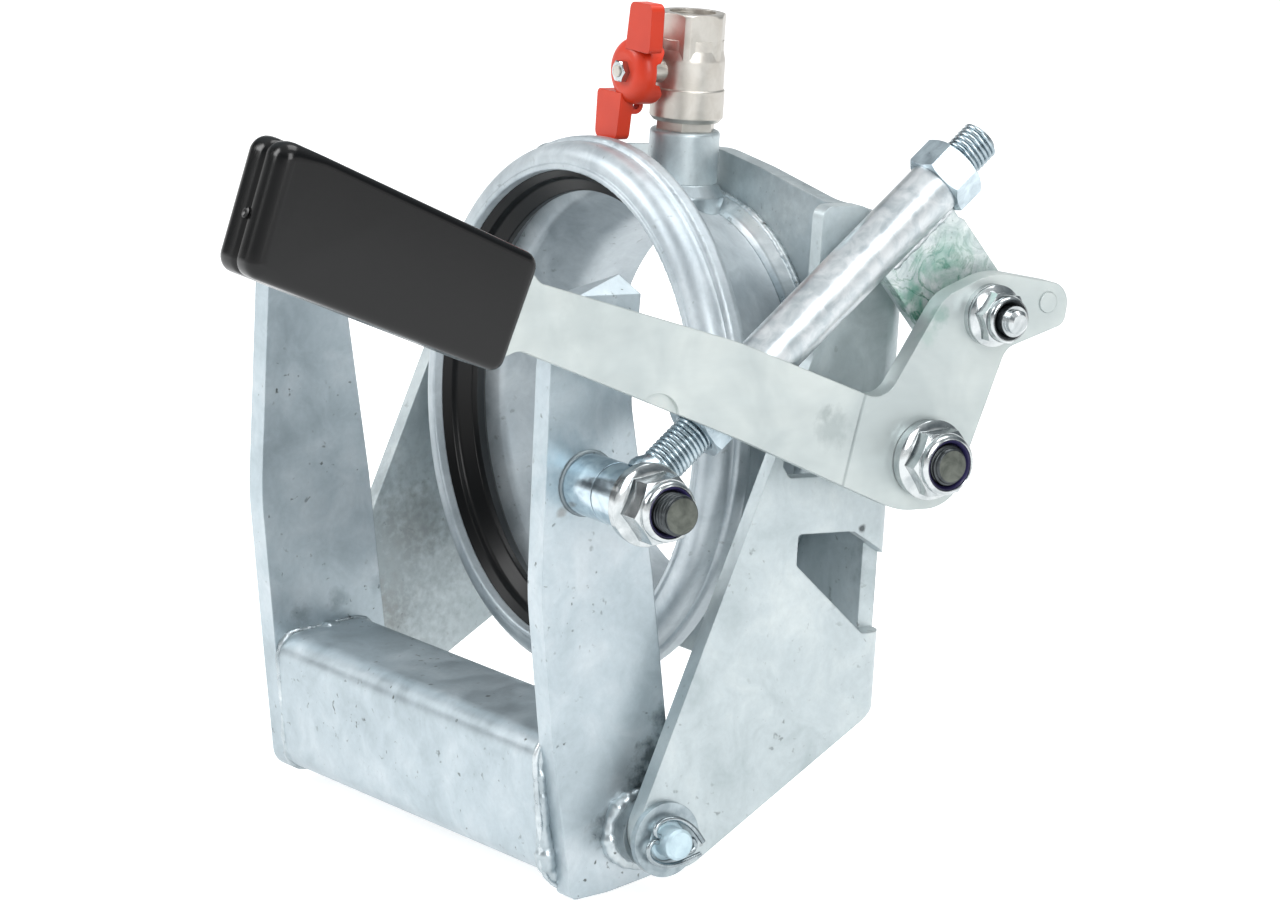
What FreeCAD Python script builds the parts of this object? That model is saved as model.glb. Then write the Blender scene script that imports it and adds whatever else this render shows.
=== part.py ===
import FreeCAD, Part
import os
from math import cos, hypot, pi, radians, sin, tan

os.makedirs("parts", exist_ok=True)

# Quick coupling for irrigation pipe. Millimetres; +X towards the lever, +Y along the pipe away
# from the mouth, +Z up. The origin is on the pipe's axis, just inside the mouth's front lip.

# Pipe, bell and gasket
pipeOuterR = 79.5
pipeWall = 4.5
pipeEndY = 72.0
mouthFlare = 14.2
lipWidth = 2.2
lipFrontY = -2.2
rollFrontY = -1.1
rollR = 7.0
rollHeight = 11.1
valleyHeight = 9.1
ridgeHeight = 13.2
ridgeBackY = 16.6
grooveDepth = 3.8
grooveFrontY = 2.0
grooveBackY = 15.0
sealHeight = 8.4
sealFrontY = 10.6

# Frame plate
plateThick = 7.0
wingRoom = 40.1
bendInnerR = 3.0
webTopRise = 21.3
webShoulderRise = 13.1
webBottomDrop = 21.5
leftShoulderRise = 5.5
tabHeight = 7.0
footR = 17.0

# Pivots, as Y and Z
leverPivot = (61.0, 7.0)
linkPivot = (86.5, 61.5)
tiePivot = (-59.5, -6.5)
yokePivotY = -26.5
yokePivotDrop = 63.0
runFit = 0.08
sideGap = 0.3

# Yoke
armRoom = 19.3
armThick = 10.0
barDepth = 46.4
barHeight = 56.6
barWall = 3.0
barCornerR = 10.0
barTilt = 8.6
barRodRoom = 3.5
pivotBossR = 13.0
rodR = 8.0
rodPastWing = 12.4
rodWasherR = 14.6
washerThick = 3.0
splitPinR = 2.0
splitPinRoom = 0.5

# Tie
tieOffset = 11.4
tieAngle = 41.3
eyeR = 16.0
eyeThick = 17.0
tubeR = 10.65
tubeBoreR = 8.65
tubeStart = 49.0
tubeEnd = 173.5
tieEnd = 201.5
tieBossR = 12.0
gussetThick = 8.0
gussetEndR = 20.0
nutFlats = 24.0
nutHeight = 13.0
tieNutHeight = 13.4
linkSlotHalf = 4.8
linkSlotR = 7.7

# Lever
leverOffset = 12.0
leverThick = 8.0
leverBossR = 12.5
leverNutHeight = 9.8
linkBoltR = 6.0
linkNutFlats = 18.5
linkWasherThick = 2.4
linkNutHeight = 8.2
pegR = 4.0
gripThick = 27.0
gripEdgeR = 5.0
reliefR = 10.1
reliefDepth = 2.0

# Valve
valveY = 48.5
socketR = 13.9
socketBoreR = 10.4
stemRise = 26.6
stemOverSocket = 23.5
valveLowR = 14.6
valveFlats = 25.4
endPieceFlats = 21.5
endPieceHeight = 3.5
valveTopRise = 23.0
threadLength = 14.5
valveThreadR = 9.3
spigotLength = 17.0
ballR = 9.6
ballBoreR = 6.5
seatRoom = 1.2
stemR = 2.3
handleFrontY = 17.5
handleReach = 28.4
handleHubR = 13.2

mouthR = pipeOuterR + mouthFlare
rollTopR = mouthR + rollHeight
valleyR = mouthR + valleyHeight
ridgeR = mouthR + ridgeHeight
grooveR = mouthR + grooveDepth
sealR = mouthR - sealHeight
wingInnerX = pipeOuterR + wingRoom
wingOuterX = wingInnerX + plateThick
webTopZ = pipeOuterR + webTopRise
webShoulderZ = pipeOuterR + webShoulderRise
leftShoulderZ = pipeOuterR + leftShoulderRise
webBottomZ = -pipeOuterR - webBottomDrop
yokePivot = (yokePivotY, -pipeOuterR - yokePivotDrop)
armInnerX = pipeOuterR + armRoom
tiePlaneX = wingOuterX + tieOffset
leverInnerX = tiePlaneX + leverOffset
stemZ = ridgeR + stemRise
socketTopZ = stemZ - stemOverSocket
valveBaseZ = socketTopZ + endPieceHeight
valveTopZ = stemZ + valveTopRise
threadBottomZ = valveTopZ - threadLength
bendOuterR = bendInnerR + plateThick
webFrontY = pipeEndY - plateThick
bendX = wingInnerX - bendInnerR
bendY = webFrontY - bendInnerR
armOuterX = armInnerX + armThick
pipeBoreR = pipeOuterR - pipeWall
leverOuterX = leverInnerX + leverThick
tieWasherX = tiePlaneX + eyeThick / 2 + sideGap
leverWasherX = leverOuterX + sideGap
lockNutStart = tubeStart - nutHeight
rodEndX = wingOuterX + rodPastWing
splitPinX = wingOuterX + washerThick + splitPinR + splitPinRoom
barFrontY = yokePivotY + rodR + barRodRoom + barWall - barDepth


def vec(x, y, z):
    return FreeCAD.Vector(x, y, z)


def roundedWire(corners, place):
    """corners are (a, b, radius); place puts a and b in space"""
    flat = [FreeCAD.Vector(corner[0], corner[1], 0) for corner in corners]
    stops = []
    for index, corner in enumerate(corners):
        point = flat[index]
        before = (flat[index - 1] - point).normalize()
        after = (flat[(index + 1) % len(flat)] - point).normalize()
        radius = corner[2]
        if not radius:
            stops.append((point, None, point))
            continue
        half = before.getAngle(after) / 2
        middle = (before + after).normalize()
        reach = radius / tan(half)
        top = point + middle * (radius / sin(half) - radius)
        stops.append((point + before * reach, top, point + after * reach))
    edges = []
    for index, (start, top, end) in enumerate(stops):
        previous = stops[index - 1][2]
        if (start - previous).Length > 1e-4:
            edges.append(Part.makeLine(place(previous.x, previous.y), place(start.x, start.y)))
        if top is not None:
            arc = Part.Arc(place(start.x, start.y), place(top.x, top.y), place(end.x, end.y))
            edges.append(arc.toShape())
    return Part.Wire(edges)


def prismX(corners, startX, endX):
    wire = roundedWire(corners, lambda y, z: vec(startX, y, z))
    return Part.Face(wire).extrude(vec(endX - startX, 0, 0))


def prismY(corners, startY, endY):
    wire = roundedWire(corners, lambda x, z: vec(x, startY, z))
    return Part.Face(wire).extrude(vec(0, endY - startY, 0))


def prismZ(corners, startZ, endZ):
    wire = roundedWire(corners, lambda x, y: vec(x, y, startZ))
    return Part.Face(wire).extrude(vec(0, 0, endZ - startZ))


def turned(corners, point, direction, side):
    """corners are (radius, height, corner radius) about an axis through a point"""
    wire = roundedWire(corners, lambda r, h: point + side * r + direction * h)
    return Part.Face(wire).revolve(point, direction, 360)


def turnedY(corners):
    return turned(corners, vec(0, 0, 0), vec(0, 1, 0), vec(1, 0, 0))


def turnedX(corners, pivot):
    return turned(corners, vec(0, *pivot), vec(1, 0, 0), vec(0, 0, 1))


def turnedZ(corners):
    return turned(corners, vec(0, valveY, 0), vec(0, 0, 1), vec(1, 0, 0))


def rodX(pivot, radius, startX, endX):
    return Part.makeCylinder(radius, endX - startX, vec(startX, *pivot), vec(1, 0, 0))


def rodZ(radius, startZ, endZ):
    return Part.makeCylinder(radius, endZ - startZ, vec(0, valveY, startZ), vec(0, 0, 1))


def rodY(radius, startY, endY):
    return Part.makeCylinder(radius, endY - startY, vec(0, startY, stemZ), vec(0, 1, 0))


def tubeX(pivot, outerR, innerR, startX, endX):
    return rodX(pivot, outerR, startX, endX).cut(rodX(pivot, innerR, startX, endX))


def mirrored(shape):
    return shape.mirror(vec(0, 0, 0), vec(1, 0, 0))


def tiePoint(along, across, x=tiePlaneX):
    """a point measured along the tie from its pivot and across it, upwards"""
    angle = radians(tieAngle)
    y = tiePivot[0] + along * cos(angle) - across * sin(angle)
    z = tiePivot[1] + along * sin(angle) + across * cos(angle)
    return vec(x, y, z)


def tieRod(radius, start, end):
    direction = vec(0, cos(radians(tieAngle)), sin(radians(tieAngle)))
    return Part.makeCylinder(radius, end - start, tiePoint(start, 0), direction)


def hexagonX(pivot, flats, startX, endX, turn=0):
    """six sided bar with its corners turned off at the outer end"""
    radius = flats / 2 / cos(pi / 6)
    corners = []
    for step in range(6):
        angle = radians(turn) + step * pi / 3
        corners.append((pivot[0] + radius * cos(angle), pivot[1] + radius * sin(angle), 0))
    bar = prismX(corners, startX, endX)
    chamfer = radius - flats / 2 + 0.3
    cone = [(0, startX, 0), (radius + 0.1, startX, 0), (radius + 0.1, endX - chamfer * 0.6, 0)]
    cone += [(radius - chamfer, endX, 0), (0, endX, 0)]
    return bar.common(turnedX(cone, pivot))


def flangeNut(pivot, startX, flats, flangeR, boltR, height, turn=0):
    """flange nut with a turned collar that holds a plastic ring"""
    collarR = flats / 2 - 0.6
    rim = 2.2
    body = hexagonX(pivot, flats, startX + rim / 2, startX + height, turn)
    flange = [(0, startX, 0), (flangeR, startX, 0.6), (flangeR, startX + rim, 0.6)]
    flange += [(flats / 2, startX + rim * 2, 0), (0, startX + rim * 2, 0)]
    collar = [(0, startX, 0), (collarR, startX, 0), (collarR, startX + height + 3.4, 1.4)]
    collar += [(0, startX + height + 3.4, 0)]
    nut = body.fuse(turnedX(flange, pivot)).fuse(turnedX(collar, pivot))
    nut = nut.cut(rodX(pivot, boltR, startX - 1, startX + height + 5))
    return nut.cut(rodX(pivot, boltR + 1.8, startX + height, startX + height + 5)).removeSplitter()


def nutInsert(pivot, startX, boltR, height):
    pocket = startX + height
    return tubeX(pivot, boltR + 1.8, boltR, pocket, pocket + 3.0)


def stud(pivot, radius, startX, endX):
    corners = [(0, startX, 0), (radius, startX, 0), (radius, endX - 1.4, 0)]
    corners += [(radius - 1.4, endX, 0), (0, endX, 0)]
    return turnedX(corners, pivot)


# Fixed frame

def framePlate():
    far = wingOuterX
    section = [(-far, -80, 0), (-far, pipeEndY, bendOuterR), (far, pipeEndY, bendOuterR)]
    section += [(far, -80, 0), (wingInnerX, -80, 0), (wingInnerX, webFrontY, bendInnerR)]
    section += [(-wingInnerX, webFrontY, bendInnerR), (-wingInnerX, -80, 0)]
    channel = prismZ(section, 2 * webBottomZ, 2 * webTopZ)
    crownX = bendX * 0.63
    webEdge = [(-bendX, webBottomZ, 0), (bendX, webBottomZ, 0), (bendX, webShoulderZ, 0)]
    webEdge += [(crownX, webShoulderZ, 60), (30, webTopZ - 2, 60), (0, webTopZ + 1.0, 60)]
    webEdge += [(-30, webTopZ - 2, 60), (-crownX, webShoulderZ, 60), (-bendX, leftShoulderZ, 0)]
    web = channel.common(prismY(webEdge, bendY - 1, pipeEndY + 1))
    tabTopZ = webShoulderZ + tabHeight
    tab = [(28, tabTopZ, 5), (46.5, tabTopZ, 6), (56, webShoulderZ + 0.4, 5)]
    tab += [(pipeEndY, webShoulderZ + 0.4, 0)]
    slope = [(64, leftShoulderZ, 10), (pipeEndY, leftShoulderZ, 0)]
    right = channel.common(prismX(tab + wingFoot(), bendX, wingOuterX + 1))
    left = channel.common(prismX(slope + wingFoot(), bendX, wingOuterX + 1))
    plate = web.fuse([wingCuts(right), mirrored(wingCuts(left))])
    hole = Part.makeCylinder(pipeOuterR, 20, vec(0, webFrontY - 5, 0), vec(0, 1, 0))
    return plate.cut(hole).removeSplitter()


def wingFoot():
    """the wing's edge from the rear bend down round the rod and up its slanted front"""
    y, z = yokePivot
    edge = [(pipeEndY, webBottomZ + 4.6, 0), (y + 13.5, z - 12.1, footR)]
    edge += [(y - 21.5, z - 15.5, footR - 1), (y - 10, z + 10.5, 0), (28, 41.5, 10)]
    return edge


def wingCuts(wing):
    notch = [(27, -27.5, 1), (53, -27.5, 2), (80, -43, 0), (80, -68, 0), (60, -68, 3), (27, -39.5, 2)]
    wing = wing.cut(prismX(notch, bendX - 0.2, wingOuterX + 1))
    bevel = [(wingInnerX - 6, -34.5, 0), (wingOuterX + 2, -26, 0), (wingOuterX + 2, -40, 0)]
    bevel += [(wingInnerX - 6, -40, 0)]
    wing = wing.cut(prismY(bevel, 28, 51))
    window = [(17.5, -0.3, 2), (21, -5, 2), (41, -5, 3), (41, 12, 3), (20, 12, 2)]
    wing = wing.cut(prismX(window, bendX - 0.2, wingOuterX + 1))
    return wing.cut(rodX(yokePivot, rodR, wingInnerX - 1, wingOuterX + 1))


def bellProfile():
    """radius, Y and corner radius: a rolled rim, a narrow ridge behind it and the neck to the pipe"""
    neckR = pipeOuterR + 8.7
    outer = [(mouthR, lipFrontY, 0.8), (mouthR + lipWidth, lipFrontY, 0.7)]
    outer += [(mouthR + lipWidth + 0.6, rollFrontY, 0.4), (rollTopR, rollFrontY, rollR)]
    outer += [(rollTopR, rollFrontY + rollR + 1.0, 1.0), (valleyR, 8.2, 0.6), (ridgeR, 10.0, 2.0)]
    outer += [(ridgeR, ridgeBackY, 3.4), (grooveR, ridgeBackY + 4.0, 2), (neckR, 29.0, 22)]
    outer += [(pipeOuterR, 52, 26), (pipeOuterR, pipeEndY, 0)]
    inner = [(pipeBoreR, pipeEndY, 0), (pipeBoreR, 48, 20), (neckR - 3, 25.5, 6), (mouthR - 2.2, 21.5, 3)]
    inner += [(grooveR, grooveBackY, 0), (grooveR, grooveFrontY, 0), (mouthR, grooveFrontY, 0)]
    return outer + inner


def bellPipe():
    return turnedY(bellProfile()).cut(rodZ(socketBoreR - 2, 0, 120))


def mouthGasket():
    """a moulded ring whose lip leans inwards and back"""
    lipR = mouthR - 0.3
    steps = [(grooveR, grooveFrontY, 0), (lipR, grooveFrontY, 0), (lipR - 2.6, 4.4, 1.2)]
    steps += [(lipR - 3.2, 7.0, 2), (sealR, sealFrontY, 0.9), (sealR, sealFrontY + 2.6, 0.9)]
    steps += [(sealR + 3.6, sealFrontY + 8.2, 1), (sealR + 5.2, 20.5, 0), (grooveR, grooveBackY, 0)]
    return turnedY(steps).cut(bellPipe())


def frameWeld():
    toe = pipeOuterR + 5.6
    bead = [(pipeOuterR, 56.8, 0), (pipeOuterR + 2.6, 58.4, 2.2), (toe - 0.2, 62.6, 2.2)]
    bead += [(toe, webFrontY, 0), (pipeOuterR, webFrontY, 0)]
    rest = turnedY(bead).cut(valveSocket()).cut(socketWeld())
    return max(rest.Solids, key=lambda solid: solid.Volume)


def bellSolid():
    """the bell's outside as one full body, for seating what stands on it"""
    outline = bellProfile()[1:12]
    return turnedY([(0, lipFrontY, 0)] + outline + [(0, pipeEndY, 0)])


def valveSocket():
    bottom = pipeBoreR - 15
    outline = [(0, bottom, 0), (socketR, bottom, 0), (socketR, socketTopZ, 1.6), (0, socketTopZ, 0)]
    socket = turnedZ(outline).cut(bellSolid())
    socket = socket.cut(rodZ(socketBoreR - 2, bottom, socketTopZ + 1))
    return socket.cut(rodZ(socketBoreR, socketTopZ - spigotLength, socketTopZ + 1))


def socketWeld():
    legOut = 3.4
    ring = [(socketR, pipeBoreR, 0), (socketR + legOut, pipeBoreR, 0)]
    ring += [(socketR + legOut, pipeOuterR + 5.0, 1.5), (socketR, pipeOuterR + 10.0, 0)]
    keep = Part.makeBox(60, webFrontY - 20, 60, vec(-30, 20, pipeOuterR - 20))
    return turnedZ(ring).common(keep).cut(bellSolid())


def hexagonZ(flats, startZ, endZ, turn):
    radius = flats / 2 / cos(pi / 6)
    corners = []
    for step in range(6):
        angle = step * pi / 3 + radians(turn)
        corners.append((radius * cos(angle), valveY + radius * sin(angle), 0))
    return prismZ(corners, startZ, endZ)


def valveBody():
    base = valveBaseZ
    neckR = valveLowR - 1.4
    low = [(0, base, 0), (valveLowR - 1.5, base, 0), (valveLowR, base + 1.7, 0.8)]
    low += [(valveLowR, base + 12.7, 0.4), (valveLowR - 0.5, base + 13.3, 0)]
    low += [(valveLowR - 0.5, stemZ + 4.5, 3), (neckR, stemZ + 8.5, 0), (neckR, stemZ + 12.5, 0)]
    low += [(0, stemZ + 12.5, 0)]
    headR = valveLowR - 0.6
    top = [(0, stemZ - 7.5, 0), (headR, stemZ - 7.5, 0), (headR, valveTopZ, 1.6), (0, valveTopZ, 0)]
    head = turnedZ(top).common(hexagonZ(valveFlats, stemZ - 7.5, valveTopZ, 20))
    body = turnedZ(low).fuse(head).fuse(rodY(4.8, 29.5, valveY - 8))
    body = body.cut(rodZ(ballR + seatRoom, stemZ - 13.5, threadBottomZ))
    body = body.cut(rodZ(valveThreadR, threadBottomZ - 1, valveTopZ + 1))
    body = body.cut(rodZ(ballR, base - 1, stemZ - 11.5))
    return body.cut(rodY(stemR + runFit, 25, valveY)).removeSplitter()


def valveEndPiece():
    piece = hexagonZ(endPieceFlats, socketTopZ, valveBaseZ, 20)
    piece = piece.fuse(rodZ(socketBoreR, socketTopZ - spigotLength, socketTopZ))
    piece = piece.fuse(rodZ(ballR, valveBaseZ, seatBottomZ))
    return piece.cut(rodZ(ballBoreR, socketTopZ - 20, seatBottomZ + 1)).removeSplitter()


seatBottomZ = stemZ - 11.7


def valveSeat(startZ, endZ):
    ring = rodZ(ballR + seatRoom, startZ, endZ).cut(rodZ(ballBoreR, startZ, endZ))
    ball = Part.makeSphere(ballR + runFit, vec(0, valveY, stemZ))
    return ring.cut(ball)


def leverPivotBoss():
    boss = rodX(leverPivot, leverBossR, bendX + 3.4, leverInnerX - sideGap)
    section = [(0, -80, 0), (0, pipeEndY, 0), (wingOuterX, pipeEndY, bendOuterR), (wingOuterX, -80, 0)]
    boss = boss.cut(prismZ(section, -60, 60))
    return boss.cut(rodX(leverPivot, rodR, wingOuterX + 1, leverInnerX))


def pivotRod():
    ends = rodEndX
    outline = [(0, -ends, 0), (rodR - 1.2, -ends, 0), (rodR, 1.2 - ends, 0), (rodR, ends - 1.2, 0)]
    outline += [(rodR - 1.2, ends, 0), (0, ends, 0)]
    rod = turnedX(outline, yokePivot)
    for side in (-1, 1):
        rod = rod.cut(splitPinHole(side))
    return rod


def splitPinHole(side):
    start = vec(side * splitPinX, yokePivot[0] - 14, yokePivot[1] + 14)
    return Part.makeCylinder(splitPinR, 40, start, vec(0, 1, -1))


def splitPin(side):
    """a split pin: eye at the front, two legs opened at the back"""
    x = side * splitPinX
    slant = vec(0, 1, -1).normalize()
    centre = vec(x, *yokePivot)
    head = centre - slant * (rodR + 4.6)
    pin = Part.makeCylinder(splitPinR, 2 * rodR + 5.0, centre - slant * (rodR + 2.4), slant)
    pin = pin.fuse(Part.makeTorus(3.4, 1.5, head, vec(1, 0, 0)))
    end = centre + slant * (rodR + 1.6)
    for lean in (-1, 1):
        leg = (slant + vec(side * 0.15, lean * 0.75, lean * 0.75)).normalize()
        pin = pin.fuse(Part.makeCylinder(splitPinR * 0.72, 9.5, end, leg))
    return pin


# Yoke

def yokeArm(toe):
    y, z = yokePivot
    edge = [(-67.0, z + 32.5, 120), (-77.0, -50, 120), (-79.4, 38, 20), (-78, 63.4, 0)]
    edge += [(-44.7, 71.5, 0), (-40.9, 65.3, 0), (-42, 24, 30), (-27, -44, 60), (y + 13.5, z + 22.5, 0)]
    arm = prismX(edge + [(y + 21.5, z - 16.0, 17)] + toe, armInnerX, armOuterX)
    arm = arm.fuse(rodX(yokePivot, 20, armInnerX, armOuterX))
    bevel = [(armInnerX - 1, 72.1, 0), (armOuterX + 1, 64.9, 0), (armOuterX + 1, 80, 0)]
    bevel += [(armInnerX - 1, 80, 0)]
    arm = arm.cut(prismY(bevel, -90, -30))
    return arm.cut(rodX(yokePivot, rodR + runFit, armInnerX - 1, armOuterX + 1)).removeSplitter()


def yokeArmRight():
    y, z = yokePivot
    toe = [(y - 11.5, z - 24.4, 40), (y - 28.0, z - 26.6, 2.5)]
    return yokeArm(toe).cut(rodX(tiePivot, rodR, armInnerX - 1, armOuterX + 1))


def yokeArmLeft():
    y, z = yokePivot
    toe = [(y - 13.5, z - 22.6, 14), (y - 31.0, z - 22.2, 9)]
    return mirrored(yokeArm(toe))


def barOutline(inset, radius):
    tilt = radians(barTilt)
    corners = []
    for depth, height in ((0, 0), (1, 0), (1, 1), (0, 1)):
        a = inset + depth * (barDepth - 2 * inset)
        b = inset + height * (barHeight - 2 * inset)
        y = barFrontY + a * cos(tilt) - b * sin(tilt)
        z = yokePivot[1] - 22.1 + a * sin(tilt) + b * cos(tilt)
        corners.append((y, z, radius))
    return corners


def yokeCrossbar():
    bar = prismX(barOutline(0, barCornerR), -armInnerX, armInnerX)
    return bar.cut(prismX(barOutline(barWall, barCornerR - barWall), -armInnerX - 1, armInnerX + 1))


def pivotBoss():
    return tubeX(yokePivot, pivotBossR, rodR + runFit, armOuterX, wingInnerX - sideGap)


def tieBoss():
    return tubeX(tiePivot, tieBossR, rodR, armOuterX, tiePlaneX - eyeThick / 2 - sideGap)


# Tie

def eyeBolt():
    half = eyeThick / 2
    edge = [(0, -half, 0), (eyeR, -half, 2.5), (eyeR, half, 2.5), (0, half, 0)]
    eye = turned(edge, vec(tiePlaneX, *tiePivot), vec(1, 0, 0), vec(0, 0, 1))
    direction = vec(0, cos(radians(tieAngle)), sin(radians(tieAngle)))
    shank = [(0, eyeR - 5, 0), (rodR, eyeR - 5, 0), (rodR, tieEnd - 1.5, 0)]
    shank += [(rodR - 1.5, tieEnd, 0), (0, tieEnd, 0)]
    bolt = eye.fuse(turned(shank, vec(tiePlaneX, *tiePivot), direction, vec(1, 0, 0)))
    hole = rodX(tiePivot, rodR + runFit, tiePlaneX - eyeThick, tiePlaneX + eyeThick)
    return bolt.cut(hole).removeSplitter()


def tieTube():
    return tieRod(tubeR, tubeStart, tubeEnd).cut(tieRod(tubeBoreR, tubeStart, tubeEnd))


def linkInTie():
    """the link pivot measured along and across the tie"""
    angle = radians(tieAngle)
    y = linkPivot[0] - tiePivot[0]
    z = linkPivot[1] - tiePivot[1]
    return y * cos(angle) + z * sin(angle), z * cos(angle) - y * sin(angle)


def tiePrism(corners, startX, endX):
    wire = roundedWire(corners, lambda along, across: tiePoint(along, across, startX))
    return Part.Face(wire).extrude(vec(endX - startX, 0, 0))


def tieGusset():
    along, across = linkInTie()
    low = across - gussetEndR
    inner = tiePlaneX - gussetThick / 2
    edge = [(along - gussetEndR, low, gussetEndR - 0.1), (along + gussetEndR, low, gussetEndR - 0.1)]
    edge += [(along + gussetEndR, -17.5, 0), (tubeEnd - 0.3, -14.6, 0), (tubeEnd - 0.3, -8, 0)]
    edge += [(along - gussetEndR, -8, 0)]
    gusset = tiePrism(edge, inner, inner + gussetThick)
    reach = linkSlotHalf + linkSlotR
    slot = [(along - reach, across - linkSlotR, linkSlotR - 0.05)]
    slot += [(along + reach, across - linkSlotR, linkSlotR - 0.05)]
    slot += [(along + reach, across + linkSlotR, linkSlotR - 0.05)]
    slot += [(along - reach, across + linkSlotR, linkSlotR - 0.05)]
    gusset = gusset.cut(tiePrism(slot, inner - 1, inner + gussetThick + 1))
    return gusset.cut(tieRod(tubeR, tubeStart, tubeEnd))


def tieRodNut(start, flats, boreR, turn):
    """a nut on the tie's thread; start is measured along the tie"""
    direction = vec(0, cos(radians(tieAngle)), sin(radians(tieAngle)))
    nut = hexagonX((0, 0), flats, 0, nutHeight, turn)
    nut = nut.cut(rodX((0, 0), boreR, -1, nutHeight + 1))
    nut.Placement = FreeCAD.Placement(tiePoint(start, 0), FreeCAD.Rotation(vec(1, 0, 0), direction))
    return nut


# Lever

def leverPlate():
    edge = [(-222, 118, 3), (-125, 87.5, 3), (-118.5, 80.5, 6), (-28, 55, 80), (40.5, 29.5, 10)]
    edge += [(65, 69, 16), (88, 78, 30), (124, 71.5, 9), (122.5, 56.5, 5), (95.5, 48.0, 8)]
    edge += [(81, 8, 0), (81, -13, 18), (50, -13, 30), (-25, 18, 200), (-126, 56, 8)]
    edge += [(-134, 53, 3), (-229, 93, 3)]
    plate = prismX(edge, leverInnerX, leverOuterX)
    plate = plate.cut(rodX((-63.3, 27), reliefR, leverOuterX - reliefDepth, leverOuterX + 1))
    plate = plate.cut(rodX(leverPivot, rodR + runFit, leverInnerX - 1, leverOuterX + 1))
    plate = plate.cut(rodX(linkPivot, linkBoltR, leverInnerX - 1, leverOuterX + 1))
    return plate.cut(rodX(pegPivot, pegR, leverInnerX - 1, leverOuterX + 1)).removeSplitter()


pegPivot = (113.9, 65.2)


def stopPeg():
    return rodX(pegPivot, pegR, tiePlaneX - gussetThick / 2, leverOuterX + 0.6)


def leverGrip():
    middle = leverInnerX + leverThick / 2
    edge = [(-236, 136.7, 12), (-124, 91.5, 7), (-138.7, 48.8, 6), (-250, 89.5, 12)]
    grip = prismX(edge, middle - gripThick / 2, middle + gripThick / 2)
    long = [item for item in grip.Edges if abs(item.BoundBox.XLength) < 0.01]
    return grip.makeFillet(gripEdgeR, long).cut(leverPlate())


def linkBolt():
    headEnd = tiePlaneX - gussetThick / 2 - sideGap
    head = hexagonX(linkPivot, linkNutFlats, headEnd - 6.5, headEnd, 15)
    shankEnd = leverOuterX + 16.6
    shank = rodX(linkPivot, linkBoltR, headEnd - 1, shankEnd)
    tip = stud(linkPivot, linkBoltR - 1.4, shankEnd - 0.6, shankEnd + 3.4)
    return head.fuse(shank).fuse(tip).removeSplitter()


def linkSpacer():
    start = tiePlaneX + gussetThick / 2 + sideGap
    return tubeX(linkPivot, 10, linkBoltR, start, leverInnerX)


# Valve handle

def valveHandle():
    y = handleFrontY
    hub = turned([(0, y, 0), (handleHubR, y, 6), (handleHubR, y + 13, 1.5), (0, y + 13, 0)],
                 vec(0, 0, stemZ), vec(0, 1, 0), vec(1, 0, 0))
    hub = hub.cut(rodY(handleHubR - 4, y + 6, y + 20))
    tipZ = stemZ + handleReach
    wing = prismY([(0.4, stemZ + 9, 0), (17.4, stemZ + 9, 2), (17.4, tipZ, 3), (2.2, tipZ - 0.5, 3)],
                  y, y + 6)
    lug = Part.makeCylinder(3.4, 4, vec(2.2, y + 8.4, stemZ + 14.2), vec(1, 0, 0))
    lug = lug.fuse(Part.makeBox(4, 8.4, 6.8, vec(2.2, y, stemZ + 10.8)))
    lug = lug.cut(Part.makeCylinder(1.5, 30, vec(0, y + 8.6, stemZ + 14.2), vec(1, 0, 0)))
    half = wing.fuse(lug)
    other = half.copy()
    other.rotate(vec(0, 0, stemZ), vec(0, 1, 0), 180)
    handle = hub.fuse([half, other])
    gap = [(y + 7, -4, 1), (y + 7, 4, 1), (y + 9, 4.4, 0), (y + 14, 11, 0)]
    gap += [(y + 14, -11, 0), (y + 9, -4.4, 0)]
    wire = roundedWire(gap, lambda a, b: vec(-30, a, stemZ + b))
    handle = handle.cut(Part.Face(wire).extrude(vec(60, 0, 0)))
    return handle.cut(rodY(stemR, y - 1, y + 20)).removeSplitter()


def valveStem():
    return rodY(stemR, handleFrontY - 3.4, valveY - ballR + 2)


def valveBall():
    ball = Part.makeSphere(ballR, vec(0, valveY, stemZ))
    ball = ball.cut(rodZ(ballBoreR, stemZ - 2 * ballR, stemZ + 2 * ballR))
    return ball.cut(valveStem())


def handleNut():
    y = handleFrontY
    nut = hexagonX((0, 0), 8, 0, 2.8, 0).cut(rodX((0, 0), stemR, -1, 5))
    nut.Placement = FreeCAD.Placement(vec(0, y, stemZ), FreeCAD.Rotation(vec(1, 0, 0), vec(0, -1, 0)))
    return nut


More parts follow.
